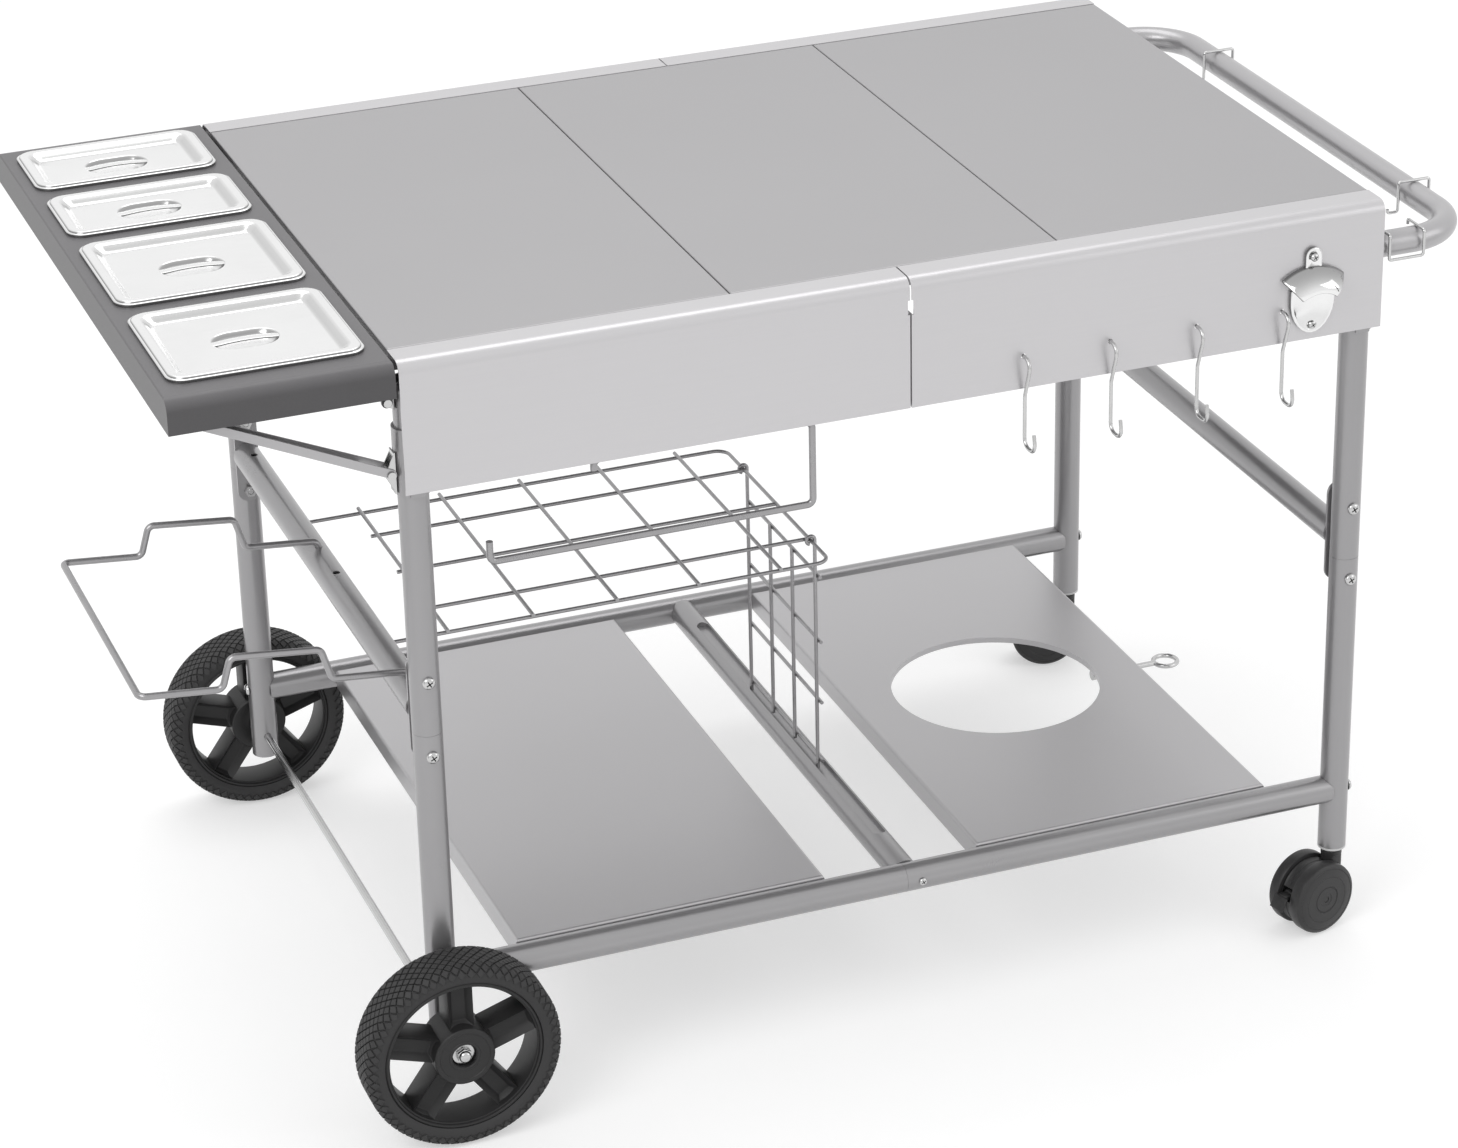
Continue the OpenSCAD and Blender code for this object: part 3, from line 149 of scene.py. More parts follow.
def slope_group():
    """Masks for level faces and for upright ones that face front or back, used to place painted shade; both
    fade as faces tilt away.
    """
    tree = bpy.data.node_groups.new("Level faces", "ShaderNodeTree")
    input_socket(tree, "Steep", "NodeSocketFloat", 0.6)
    input_socket(tree, "Level", "NodeSocketFloat", 0.97)
    output_socket(tree, "Level", "NodeSocketFloat")
    output_socket(tree, "Upright", "NodeSocketFloat")
    given = add_node(tree, "NodeGroupInput")
    result = add_node(tree, "NodeGroupOutput")
    place = add_node(tree, "ShaderNodeTexCoord")
    parts = add_node(tree, "ShaderNodeSeparateXYZ")
    tree.links.new(place.outputs["Normal"], parts.inputs[0])
    for axis, mask in (("Z", "Level"), ("Y", "Upright")):
        size = add_node(tree, "ShaderNodeMath", operation="ABSOLUTE")
        span = add_node(tree, "ShaderNodeMapRange")
        tree.links.new(parts.outputs[axis], size.inputs[0])
        tree.links.new(size.outputs[0], span.inputs["Value"])
        tree.links.new(given.outputs["Steep"], span.inputs["From Min"])
        tree.links.new(given.outputs["Level"], span.inputs["From Max"])
        tree.links.new(span.outputs["Result"], result.inputs[mask])
    return tree


MOTTLE = mottle_group()
SLOPE = slope_group()


def finish(name, light, dark, metallic, smooth, rough, stretch=(1, 1, 1), grain=900, drift=6, bump=0.05,
           depth=0.0002, coat=0.0, specular=0.5):
    """A material whose tones, roughness and fine relief come from the mottled finish."""
    material = bpy.data.materials.new(name)
    material.use_nodes = True
    tree = material.node_tree
    shader = tree.nodes["Principled BSDF"]
    mottle = add_node(tree, "ShaderNodeGroup", node_tree=MOTTLE)
    set_inputs(mottle, {"Light tone": (*light, 1), "Dark tone": (*dark, 1), "Stretch": stretch,
                        "Drift scale": drift, "Grain scale": grain, "Smooth": smooth, "Rough": rough})
    relief = add_node(tree, "ShaderNodeBump")
    set_inputs(relief, {"Strength": bump, "Distance": depth})
    set_inputs(shader, {"Metallic": metallic, "Coat Weight": coat, "Coat Roughness": 0.28,
                        "Specular IOR Level": specular})
    tree.links.new(mottle.outputs["Colour"], shader.inputs["Base Color"])
    tree.links.new(mottle.outputs["Roughness"], shader.inputs["Roughness"])
    tree.links.new(mottle.outputs["Grain"], relief.inputs["Height"])
    tree.links.new(relief.outputs["Normal"], shader.inputs["Normal"])
    return material


def paint_tilt_shade(material, steep, level, share, mask_name="Level"):
    """Paints shade into a material's colour: darker wherever the chosen mask has faded."""
    tree = material.node_tree
    shader = tree.nodes["Principled BSDF"]
    source = shader.inputs["Base Color"].links[0].from_socket
    mask = add_node(tree, "ShaderNodeGroup", node_tree=SLOPE)
    set_inputs(mask, {"Steep": steep, "Level": level})
    darker = add_node(tree, "ShaderNodeMix", data_type="RGBA", blend_type="MULTIPLY")
    darker.inputs["Factor"].default_value = 1.0
    darker.inputs["B"].default_value = (share, share, share, 1)
    chosen = add_node(tree, "ShaderNodeMix", data_type="RGBA")
    tree.links.new(source, darker.inputs["A"])
    tree.links.new(mask.outputs[mask_name], chosen.inputs["Factor"])
    tree.links.new(darker.outputs["Result"], chosen.inputs["A"])
    tree.links.new(source, chosen.inputs["B"])
    tree.links.new(chosen.outputs["Result"], shader.inputs["Base Color"])


def grey(value, tint=0.0):
    """A grey, a little to blue and red where the tint is above zero."""
    return (value * (1 + tint * 0.4), value * (1 - tint), value * (1 + tint))


PANEL_STEEL = finish("Brushed panel steel", grey(0.42, 0.010), grey(0.38, 0.010), 0.80, 0.34, 0.46,
                     stretch=(0.02, 1, 1), grain=700, drift=3, bump=0.06)
APRON_STEEL = finish("Brushed apron steel", grey(0.60, 0.010), grey(0.55, 0.010), 0.75, 0.30, 0.42,
                     stretch=(0.02, 1, 1), grain=700, drift=3, bump=0.05)
FRAME_PAINT = finish("Silver frame paint", grey(0.365, 0.010), grey(0.31, 0.010), 0.70, 0.24, 0.34,
                     grain=2600, drift=9, bump=0.08, coat=0.15)
# Painted light: a lighter copy of the frame paint, used on the handle and the struts.
LIT_FRAME_PAINT = finish("Frame paint lightened as painted light", grey(0.46, 0.010), grey(0.41, 0.010), 0.65, 0.26, 0.38,
                      grain=2600, drift=9, bump=0.08, coat=0.15)
SHELF_PAINT = finish("Silver shelf paint", grey(0.52, 0.010), grey(0.46, 0.010), 0.80, 0.30, 0.42,
                     grain=2600, drift=4, bump=0.08, coat=0.1)
TRAY_PAINT_AND_SHADE = finish("Dark tray paint with painted shade", grey(0.175, 0.02), grey(0.085, 0.02), 0.0, 0.40, 0.52,
                    grain=1500, drift=6, bump=0.14, coat=0.2, specular=0.35)
# Painted shade: the tray's upright and tilted faces are darkened, down to 0.62 of its colour.
paint_tilt_shade(TRAY_PAINT_AND_SHADE, 0.1, 0.95, 0.62)
LID_STEEL_AND_SHADE = finish("Polished lid steel with painted shade", grey(0.90), grey(0.80), 1.0, 0.12, 0.22,
                   stretch=(0.05, 1, 1), grain=500, drift=14, bump=0.02)
# Painted shade: the lid's sloping walls, steps and edges are darkened, down to 0.30 of its colour.
paint_tilt_shade(LID_STEEL_AND_SHADE, 0.55, 0.98, 0.30)
WIRE_PLATING = finish("Dull wire plating", grey(0.40, 0.01), grey(0.30, 0.01), 0.8, 0.22, 0.34,
                      grain=3000, drift=20, bump=0.06)
BRIGHT_PLATING = finish("Bright zinc plating", grey(0.62), grey(0.48), 1.0, 0.12, 0.24,
                        grain=2600, drift=30, bump=0.03)
OPENER_CHROME_AND_SHADE = finish("Cast chrome with painted shade", grey(0.84), grey(0.76), 1.0, 0.05, 0.12,
                       grain=400, drift=40, bump=0.05)
# Painted shade: the opener's faces that turn away from front and back are darkened, down to 0.28 of its
# colour.
paint_tilt_shade(OPENER_CHROME_AND_SHADE, 0.45, 0.97, 0.28, "Upright")
TYRE_RUBBER = finish("Moulded tyre rubber", grey(0.040, 0.01), grey(0.022, 0.01), 0.0, 0.52, 0.72,
                     grain=1800, drift=30, bump=0.25, specular=0.45)
HUB_PLASTIC = finish("Grained hub plastic", grey(0.028, 0.01), grey(0.016, 0.01), 0.0, 0.38, 0.54,
                     grain=2600, drift=24, bump=0.20, specular=0.35)
CASTER_PLASTIC = finish("Moulded caster nylon", grey(0.038, 0.01), grey(0.024, 0.01), 0.0, 0.34, 0.50,
                        grain=2600, drift=30, bump=0.16, specular=0.4)
PLUG_PLASTIC = finish("Pale plug nylon", grey(0.70), grey(0.62), 0.0, 0.30, 0.42,
                      grain=2600, drift=30, bump=0.08)

CAD_FINISHES = {
    PANEL_STEEL: ["left_panel", "middle_panel", "right_panel"],
    APRON_STEEL: ["front_left_apron", "front_right_apron", "back_aprons"],
    FRAME_PAINT: ["leg_sockets", "upper_legs", "lower_legs", "left_cross_tube", "right_cross_tube",
                  "front_rails", "back_rails", "middle_tube"],
    LIT_FRAME_PAINT: ["handle", "front_strut", "back_strut"],
    SHELF_PAINT: ["left_shelf", "right_shelf"],
    TRAY_PAINT_AND_SHADE: ["side_tray"],
    LID_STEEL_AND_SHADE: [pan[0] + "_pan" for pan in PANS],
    WIRE_PLATING: ["wire_rack", "wire_grid", "towel_bar"],
    BRIGHT_PLATING: ["frame_nuts", "small_screws", "eyebolt", "axle", "tray_brackets", "tray_pins",
                     "back_hanger", "front_hanger", "corner_hanger"],
    PLUG_PLASTIC: ["caster_sockets"],
}
for material, names in CAD_FINISHES.items():
    for name in names:
        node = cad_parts[name]
        node.data.materials.clear()
        node.data.materials.append(material)


# Shared shapes
def place_piece(name, shape, material, body, crease=35, replaced=()):
    """Turns a finished bmesh into a piece that rides on a body."""
    bmesh.ops.recalc_face_normals(shape, faces=shape.faces)
    mesh = bpy.data.meshes.new(name)
    shape.to_mesh(mesh)
    shape.free()
    for face in mesh.polygons:
        face.use_smooth = True
    mesh.set_sharp_from_angle(angle=radians(crease))
    mesh.materials.append(material)
    piece = bpy.data.objects.new(name, mesh)
    scene.collection.objects.link(piece)
    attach(piece, body)
    if replaced:
        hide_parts(*replaced)
    return piece


def turned(bm, outline, steps, closed=True):
    """Turns an outline of radius and height pairs about Z; an open one leaves out its last edge."""
    verts = [bm.verts.new((r * MM, 0, z * MM)) for r, z in outline]
    edges = [bm.edges.new((verts[i - 1], verts[i])) for i in range(0 if closed else 1, len(verts))]
    bmesh.ops.spin(bm, geom=verts + edges, cent=(0, 0, 0), axis=(0, 0, 1), angle=2 * pi, steps=steps,
                   use_merge=True)


def solid_of_turn(bm, outline, steps):
    """Turns an open outline that starts and ends on the axis into a closed solid."""
    turned(bm, outline, steps, closed=False)
    bmesh.ops.remove_doubles(bm, verts=bm.verts, dist=WELD)


def move(bm, matrix, verts=None):
    bmesh.ops.transform(bm, matrix=matrix, verts=bm.verts if verts is None else verts)


def shift(x, y, z):
    return Matrix.Translation((x * MM, y * MM, z * MM))


def towards(side):
    """Turns a shape's +Z to point out of the cart on one side."""
    return Matrix.Rotation(radians(90 if side < 0 else -90), 4, "X")


def step_in(bm, face, inwards, upwards):
    """Insets a flat face and raises or sinks it."""
    bmesh.ops.inset_region(bm, faces=[face], thickness=inwards * MM, use_even_offset=True, use_boundary=True)
    bmesh.ops.translate(bm, verts=face.verts, vec=(0, 0, upwards * MM))


def join_shape(bm, part):
    """Adds one bmesh to another."""
    mesh = bpy.data.meshes.new("part")
    part.to_mesh(mesh)
    part.free()
    bm.from_mesh(mesh)
    bpy.data.meshes.remove(mesh)


# Large wheels: Z is the axle and points out of the cart, with the wheel's middle at the origin
CROWN_R = 93.0
CROWN_HALF = 14.6
SHOULDER_R = 9.0
BLOCK_H = 1.7
BLOCKS_ROUND = 60
BLOCK_ROWS = 11
BLOCK_RINGS = [(4.45, -0.4), (4.0, BLOCK_H - 0.35), (3.5, BLOCK_H)]
ROW_STEP = 5.0
SPOKES = 5


def tread_point(along, out):
    """Radius and height on the tread at a distance across it from the middle line."""
    side = 1 if along > 0 else -1
    turn = max(abs(along) - CROWN_HALF, 0) / SHOULDER_R
    flat = min(abs(along), CROWN_HALF)
    r = CROWN_R - SHOULDER_R + (SHOULDER_R + out) * cos(turn)
    return r, side * (flat + (SHOULDER_R + out) * sin(turn))


def tread_block(bm, along, angle):
    """A diamond block, wide at its foot and narrower on top."""
    corners = []
    for half, out in BLOCK_RINGS:
        ring = []
        for step, cross in ((half, 0), (0, half), (-half, 0), (0, -half)):
            r, z = tread_point(along + cross, out)
            a = angle + step / CROWN_R
            ring.append(bm.verts.new((r * cos(a) * MM, r * sin(a) * MM, z * MM)))
        corners.append(ring)
    for low, high in zip(corners, corners[1:]):
        for i in range(4):
            bm.faces.new((low[i - 1], low[i], high[i], high[i - 1]))
    bm.faces.new(corners[-1])


def make_tyre():
    bm = bmesh.new()
    crown = [tread_point(ROW_STEP * i / 2, 0) for i in range(-BLOCK_ROWS, BLOCK_ROWS + 1)]
    outline = [(78.0, -21.6), (83.0, -23.4), (88.5, -22.9)] + crown
    outline += [(88.5, 22.9), (83.0, 23.4), (78.0, 21.6), (76.2, 20.6), (76.0, 19.0), (76.0, -19.0),
                (76.2, -20.6)]
    turned(bm, outline, 120)
    for row in range(BLOCK_ROWS):
        along = (row - (BLOCK_ROWS - 1) / 2) * ROW_STEP
        for i in range(BLOCKS_ROUND):
            tread_block(bm, along, 2 * pi * (i + row % 2 / 2) / BLOCKS_ROUND)
    return bm


def spoke_shape(angle):
    """A broad spoke with a sunk pocket in each face."""
    bm = bmesh.new()
    bmesh.ops.create_cube(bm, size=1)
    move(bm, Matrix.Diagonal((46 * MM, 24 * MM, 31 * MM, 1)))
    faces = [f for f in bm.faces if abs(f.normal.z) > 0.9]
    for face in faces:
        bmesh.ops.inset_region(bm, faces=[face], thickness=4.6 * MM, use_even_offset=True)
        drop = Vector((0, 0, -9 * MM if face.normal.z > 0 else 9 * MM))
        bmesh.ops.translate(bm, verts=face.verts, vec=drop)
        bmesh.ops.scale(bm, verts=face.verts, vec=(1.0, 0.86, 1.0))
    bmesh.ops.bevel(bm, geom=[e for e in bm.edges if e.calc_face_angle(0) > 0.6], offset=0.9 * MM,
                    offset_type="OFFSET", affect="EDGES", segments=2, profile=0.5, material=-1)
    move(bm, Matrix.Rotation(angle, 4, "Z") @ shift(49.5, 0, 0))
    return bm


def make_hub():
    bm = bmesh.new()
    turned(bm, [(75.7, -20.2), (75.7, 20.2), (74.6, 21.2), (73.0, 21.2), (72.4, 20.4), (72.2, 18.6),
                (71.2, 18.2), (70.8, 17.0), (70.6, 0), (70.8, -17.0), (71.2, -18.2), (72.2, -18.6),
                (72.4, -20.4), (73.0, -21.2), (74.6, -21.2)], 96)
    turned(bm, [(4.1, -21.5), (10, -21.5), (11, -22), (28, -22), (29, -21), (29.3, -15), (29.3, 15), (29, 21),
                (28, 22), (24.4, 22), (23.8, 21.3), (15.2, 20.8), (14.6, 21.4), (12.8, 21.4), (12.0, 20.6),
                (11.6, 14.0), (4.1, 14.0)], 72)
    for i in range(SPOKES):
        join_shape(bm, spoke_shape(pi / 2 + 2 * pi * i / SPOKES))
    return bm


def make_wheel_nuts():
    """Spacer behind the hub, then washer, hexagon and dome in its cup."""
    bm = bmesh.new()
    turned(bm, [(4.2, -28.4), (4.2, -22.3), (10.6, -22.3), (11, -22.7), (11, -28.0), (10.6, -28.4)], 48)
    turned(bm, [(4.2, 14.2), (10.4, 14.2), (10.9, 14.6), (10.9, 15.4), (10.4, 15.8), (4.2, 15.8)], 48)
    nut = bmesh.new()
    bmesh.ops.create_circle(nut, cap_ends=True, radius=7.4 * MM, segments=6)
    foot = bmesh.ops.extrude_face_region(nut, geom=nut.faces[:])
    bmesh.ops.translate(nut, verts=[v for v in foot["geom"] if isinstance(v, bmesh.types.BMVert)],
                        vec=(0, 0, 4.6 * MM))
    bmesh.ops.bevel(nut, geom=nut.edges[:], offset=0.5 * MM, affect="EDGES", segments=2, profile=0.5,
                    material=-1)
    move(nut, shift(0, 0, 15.9))
    join_shape(bm, nut)
    dome = bmesh.new()
    solid_of_turn(dome, [(0, 19.5), (5.9, 19.5), (5.9, 21.0), (5.6, 22.6), (4.6, 24.0), (3.2, 24.8),
                         (1.6, 25.2), (0, 25.3)], 32)
    join_shape(bm, dome)
    return bm


def at_wheel(side):
    return shift(LEFT_LEG_X, side * WHEEL_Y, WHEEL_R) @ towards(side)


nut_pair = bmesh.new()
for name, side in SIDES:
    tyre, hub, nuts = make_tyre(), make_hub(), make_wheel_nuts()
    # One spoke points straight up on both sides
    spoke_up = Matrix.Rotation(pi if side > 0 else 0, 4, "Z")
    move(tyre, at_wheel(side) @ spoke_up)
    move(hub, at_wheel(side) @ spoke_up)
    move(nuts, at_wheel(side))
    join_shape(nut_pair, nuts)
    place_piece(name + "_tread_tyre", tyre, TYRE_RUBBER, name + "_wheel", 30, [name + "_tyre"])
    place_piece(name + "_spoked_hub", hub, HUB_PLASTIC, name + "_wheel", 35, [name + "_hub"])
place_piece("dome_nuts", nut_pair, BRIGHT_PLATING, "frame", 35, ["wheel_nuts"])


# Fasteners: Z points out of the head
def bolt_shape(shank_d, length, head_d, head_h):
    """A pan head with a cross recess on a plain shank that runs down from the origin."""
    bm = bmesh.new()
    r, h = head_d / 2, head_h
    solid_of_turn(bm, [(0, -length), (shank_d / 2 - 0.4, -length), (shank_d / 2, -length + 0.4),
                       (shank_d / 2, 0), (r - 0.3, 0), (r, 0.35), (r * 0.97, h * 0.45), (r * 0.80, h * 0.80),
                       (r * 0.52, h * 0.97), (r * 0.30, h), (0, h)], 28)
    return bm


def cross_recess(head_d, head_h):
    """The dark cross in a head: a shallow star in painted shade that stands in for its hollow."""
    bm = bmesh.new()
    arm = head_d * 0.27
    for turn in (0, pi / 2):
        part = bmesh.new()
        bmesh.ops.create_cube(part, size=1)
        move(part, Matrix.Rotation(turn, 4, "Z") @ shift(0, 0, head_h - 0.35)
             @ Matrix.Diagonal((2 * arm * MM, head_d * 0.10 * MM, 0.8 * MM, 1)))
        join_shape(bm, part)
    return bm


# Painted shade: near black for the shade inside the cross recesses.
RECESS_SHADE = finish("Shaded recess", grey(0.020), grey(0.010), 0.3, 0.6, 0.8, grain=2000, bump=0.1)


def set_of_bolts(name, places, size, body, replaced):
    """One piece of bolts and one of their recesses, from a list of places."""
    heads, recesses = bmesh.new(), bmesh.new()
    for matrix, length in places:
        head = bolt_shape(size[0], length, size[1], size[2])
        move(head, matrix)
        join_shape(heads, head)
        recess = cross_recess(size[1], size[2])
        move(recess, matrix @ Matrix.Rotation(0.5, 4, "Z"))
        join_shape(recesses, recess)
    place_piece(name, heads, BRIGHT_PLATING, body, 35, replaced)
    place_piece(name + "_recesses", recesses, RECESS_SHADE, body, 35)


def along_length(side):
    """Turns a shape's +Z to point to the cart's right or left end."""
    return Matrix.Rotation(radians(90 * side), 4, "Y")


leg_bolts = []
for x in (LEFT_LEG_X, RIGHT_LEG_X):
    for z in JOINT_BOLT_HEIGHTS:
        for side in (-1, 1):
            leg_bolts.append((shift(x, side * (LEG_Y + TUBE_FACE), z) @ towards(side), 36.6))
for side in (-1, 1):
    y = side * LEG_Y
    leg_bolts.append((shift(LEFT_LEG_X - TUBE_FACE, y, RAIL_Z) @ along_length(-1), 40))
    leg_bolts.append((shift(RIGHT_LEG_X + TUBE_FACE, y, RAIL_Z) @ along_length(1), 40))
    leg_bolts.append((shift(RIGHT_LEG_X - TUBE_FACE, y, HANDLE_Z) @ along_length(-1), 42))
set_of_bolts("leg_bolts", leg_bolts, (6, 12, 3.6), "frame", ["frame_bolts"])

small = []
for drop in OPENER_SCREW_DROPS:
    small.append((shift(OPENER_X, OPENER_SCREW_Y, TOP_Z - drop) @ towards(-1), 8.7))
for start in SHELF_STARTS:
    for inwards in SHELF_SCREWS_IN:
        for side in (1, -1):
            place = shift(TOP_LEFT + start + inwards, side * SHELF_LIP_Y, RAIL_Z)
            small.append((place @ towards(-side), 2.7))
for side in (-1, 1):
    small.append((shift(SPLICE_X, side * (LEG_Y + TUBE_FACE), RAIL_Z) @ towards(side), 14))
set_of_bolts("trim_screws", small, (4, 8, 2.6), "frame", ["small_screws"])


# Lids: a rounded outline stepped inwards and down to its floor, with an oval finger cup
LID_LENGTH = 175.6
LID_SLACK = 0.4
LID_ROUND = 15.8
ROUND_LOSS = 0.45
LEAST_ROUND = 4
CUP_LENGTH = 63.0
CUP_WIDTH = 41.0
CUP_ROUND = 20.4
CORNER_STEPS = 10
SHEET = 0.8
RIM_STEPS = [(0.02, 0.6), (0.3, 0.25), (1.5, 0.05), (0.2, 0.3), (0.3, 0.9), (0.5, 0.35), (1.0, 0.08),
             (4.3, -0.05)]
WALL_STEPS = [(1.2, -0.35), (2.2, -1.3), (3.6, -2.9), (1.8, -1.3), (1.4, -0.75), (1.2, -0.2)]
CUP_STEPS = [(0.5, -0.1), (0.9, -0.8), (1.3, -2.0), (2.2, -2.3), (2.8, -1.5), (2.8, -0.5), (3.2, -0.1)]


def rounded_ring(bm, length, width, radius, z):
    """The points of an outline with rounded corners."""
    ring = []
    for i, (sx, sy) in enumerate(((1, 1), (-1, 1), (-1, -1), (1, -1))):
        for k in range(CORNER_STEPS + 1):
            a = pi / 2 * (i + k / CORNER_STEPS)
            x = sx * (length / 2 - radius) + radius * cos(a)
            y = sy * (width / 2 - radius) + radius * sin(a)
            ring.append(bm.verts.new((x * MM, y * MM, z * MM)))
    return ring


def make_lid(width):
    """A pressed sheet: a stepped rim, sloping walls, a flat floor and a cup for the fingers."""
    bm = bmesh.new()
    inset, z = 0, -0.2
    rings = [rounded_ring(bm, LID_LENGTH, width - LID_SLACK, LID_ROUND, z)]
    for inwards, upwards in RIM_STEPS + WALL_STEPS:
        inset, z = inset + inwards, z + upwards
        rings.append(rounded_ring(bm, LID_LENGTH - 2 * inset, width - LID_SLACK - 2 * inset,
                                  max(LID_ROUND - ROUND_LOSS * inset, LEAST_ROUND), z))
    floor_z, inset = z, 0
    rings.append(rounded_ring(bm, CUP_LENGTH, CUP_WIDTH, CUP_ROUND, floor_z))
    for inwards, upwards in CUP_STEPS:
        inset, z = inset + inwards, z + upwards
        rings.append(rounded_ring(bm, CUP_LENGTH - 2 * inset, CUP_WIDTH - 2 * inset, CUP_ROUND - inset, z))
    loops = [[bm.edges.new((ring[i - 1], ring[i])) for i in range(len(ring))] for ring in rings]
    for outer, inner in zip(loops, loops[1:]):
        bmesh.ops.bridge_loops(bm, edges=outer + inner)
    bm.faces.new(rings[-1])
    bmesh.ops.recalc_face_normals(bm, faces=bm.faces)
    # The wall's thickness goes downwards
    if sum(f.normal.z * f.calc_area() for f in bm.faces) > 0:
        bmesh.ops.reverse_faces(bm, faces=bm.faces)
    bmesh.ops.solidify(bm, geom=bm.faces[:], thickness=SHEET * MM)
    return bm, floor_z


def make_lid_bar(floor_z):
    """The flat bar across the cup, with its ends let into the floor."""
    bm = bmesh.new()
    bmesh.ops.create_cube(bm, size=1)
    move(bm, Matrix.Diagonal((62 * MM, 9 * MM, 1.5 * MM, 1)))
    lengthwise = [e for e in bm.edges if abs(e.verts[0].co.x - e.verts[1].co.x) > 10 * MM]
    bmesh.ops.subdivide_edges(bm, edges=lengthwise, cuts=8, use_grid_fill=True)
    for vert in bm.verts:
        vert.co.z += 1.5 * MM * max(0, 1 - (vert.co.x / (26 * MM)) ** 2)
    bmesh.ops.bevel(bm, geom=[e for e in bm.edges if e.calc_face_angle(0) > 0.8], offset=0.5 * MM,
                    affect="EDGES", segments=2, profile=0.5, material=-1)
    move(bm, shift(0, 0, floor_z - 0.6))
    return bm


for name, y, width in PANS:
    lid, floor_z = make_lid(width)
    join_shape(lid, make_lid_bar(floor_z))
    move(lid, shift(PAN_X, y, TOP_Z + 1.8))
    place_piece(name + "_pressed_lid", lid, LID_STEEL_AND_SHADE, name + "_cover", 40, [name + "_lid"])


# Wires: a round section carried along a bent centre line
def bent_line(points, bend, steps):
    """Points of a line whose corners are rounded."""
    line = [points[0]]
    for a, b, c in zip(points, points[1:], points[2:]):
        u, v = (b - a).normalized(), (c - b).normalized()
        turn = u.angle(v)
        back = bend * MM * tan(turn / 2)
        axis = u.cross(v).normalized()
        centre = b - u * back + axis.cross(u) * bend * MM
        spoke = b - u * back - centre
        for k in range(steps + 1):
            line.append(centre + Matrix.Rotation(turn * k / steps, 4, axis) @ spoke)
    return line + [points[-1]]


def wire_piece(name, line, diameter, material, body, replaced):
    """A round wire with closed, slightly rounded ends along a line of points."""
    curve = bpy.data.curves.new(name, "CURVE")
    curve.dimensions = "3D"
    curve.bevel_depth = diameter / 2 * MM
    curve.bevel_resolution = 4
    curve.use_fill_caps = True
    spline = curve.splines.new("POLY")
    spline.points.add(len(line) - 1)
    for point, place in zip(spline.points, line):
        point.co = (*place, 1)
    holder = bpy.data.objects.new(name + "_route", curve)
    scene.collection.objects.link(holder)
    bpy.context.view_layer.update()
    bm = bmesh.new()
    bm.from_mesh(holder.to_mesh())
    holder.to_mesh_clear()
    bpy.data.objects.remove(holder)
    bmesh.ops.remove_doubles(bm, verts=bm.verts, dist=10 * WELD)
    return place_piece(name, bm, material, body, 50, replaced)


# The S-hooks, in shares of their reach and drop from the hole in the apron
HOOK_OUT = 40
HOOK_DROP = 91
HOOK_SHARES = [(-0.30, -0.17), (-0.30, 0), (0.44, 0), (0.10, -0.42), (0.10, -0.96), (0.72, -0.96),
               (0.62, -0.76)]
for name, x in HOOKS:
    hole = Vector((TOP_LEFT + x, HOOK_HOLE_Y, HOOK_HOLE_Z))
    route = [(hole + Vector((0, -out * HOOK_OUT, up * HOOK_DROP))) * MM for out, up in HOOK_SHARES]
    wire_piece(name + "_wire_hook", bent_line(route, 8.6, 8), 3.6, BRIGHT_PLATING, name + "_s_hook",
               [name + "_hook"])

# The bag frame's two arms and its far bar
BAG_ENDS = (-268, 32)
BAG_FOOT_Z = 428
BAG_ARM_Z = 440
BAG_RISE_SHARE = 0.096
BAG_HUMP = 31
BAG_REACH = 248.75


def arm_height(out):
    return BAG_ARM_Z + out * BAG_RISE_SHARE


def bag_arm(y):
    """One arm, from its foot in the bracket over its hump to the last bend."""
    outs = [(0, BAG_FOOT_Z), (0, arm_height(0)), (72, arm_height(72)), (81, arm_height(72) + BAG_HUMP),
            (164, arm_height(164) + BAG_HUMP), (173, arm_height(173))]
    return [Vector(((LEFT_LEG_X - out) * MM, y * MM, z * MM)) for out, z in outs]


far_bar = [Vector(((LEFT_LEG_X - BAG_REACH) * MM, y * MM, arm_height(BAG_REACH) * MM)) for y in BAG_ENDS]
bag_route = bag_arm(BAG_ENDS[0]) + far_bar + bag_arm(BAG_ENDS[1])[::-1]
wire_piece("bag_wire", bent_line(bag_route, 7, 8), 6.5, WIRE_PLATING, "bag_frame",
           ["bag_holder"])


# Caster discs and their cover rings
def make_caster_disc():
    """One disc, its inner face at the origin and its outer face towards +Z."""
    bm = bmesh.new()
    turned(bm, [(3.1, 0), (35.8, 0), (37.0, 0.4), (37.5, 1.4), (37.5, 9.6), (36.9, 11.9), (35.3, 13.5),
                (33.2, 14.2), (32.7, 13.8), (32.1, 14.2), (24.8, 14.7), (24.4, 14.4), (24.0, 14.7),
                (14.6, 15.0), (14.1, 14.3), (13.3, 14.3), (12.8, 14.9), (7.0, 15.0), (6.4, 14.4),
                (3.1, 14.4)], 72)
    return bm


def at_caster(side):
    """The caster's own frame: the stem at the origin and the axle off to -X."""
    return shift(RIGHT_LEG_X, side * LEG_Y, 0) @ Matrix.Rotation(-side * CASTER_TURN, 4, "Z")


for name, side in SIDES:
    pair = bmesh.new()
    for out in (-1, 1):
        disc = make_caster_disc()
        move(disc, shift(-CASTER_TRAIL, out * DISC_IN, CASTER_R) @ towards(out))
        join_shape(pair, disc)
    axle = bmesh.new()
    solid_of_turn(axle, [(0, -22.6), (2.7, -22.6), (3.0, -22.3), (3.0, 22.3), (2.7, 22.6), (0, 22.6)], 32)
    move(axle, shift(-CASTER_TRAIL, 0, CASTER_R) @ towards(1))
    join_shape(pair, axle)
    move(pair, at_caster(side))
    place_piece(name + "_caster_discs", pair, CASTER_PLASTIC, name + "_caster_pair", 30,
                [name + "_caster_wheels"])


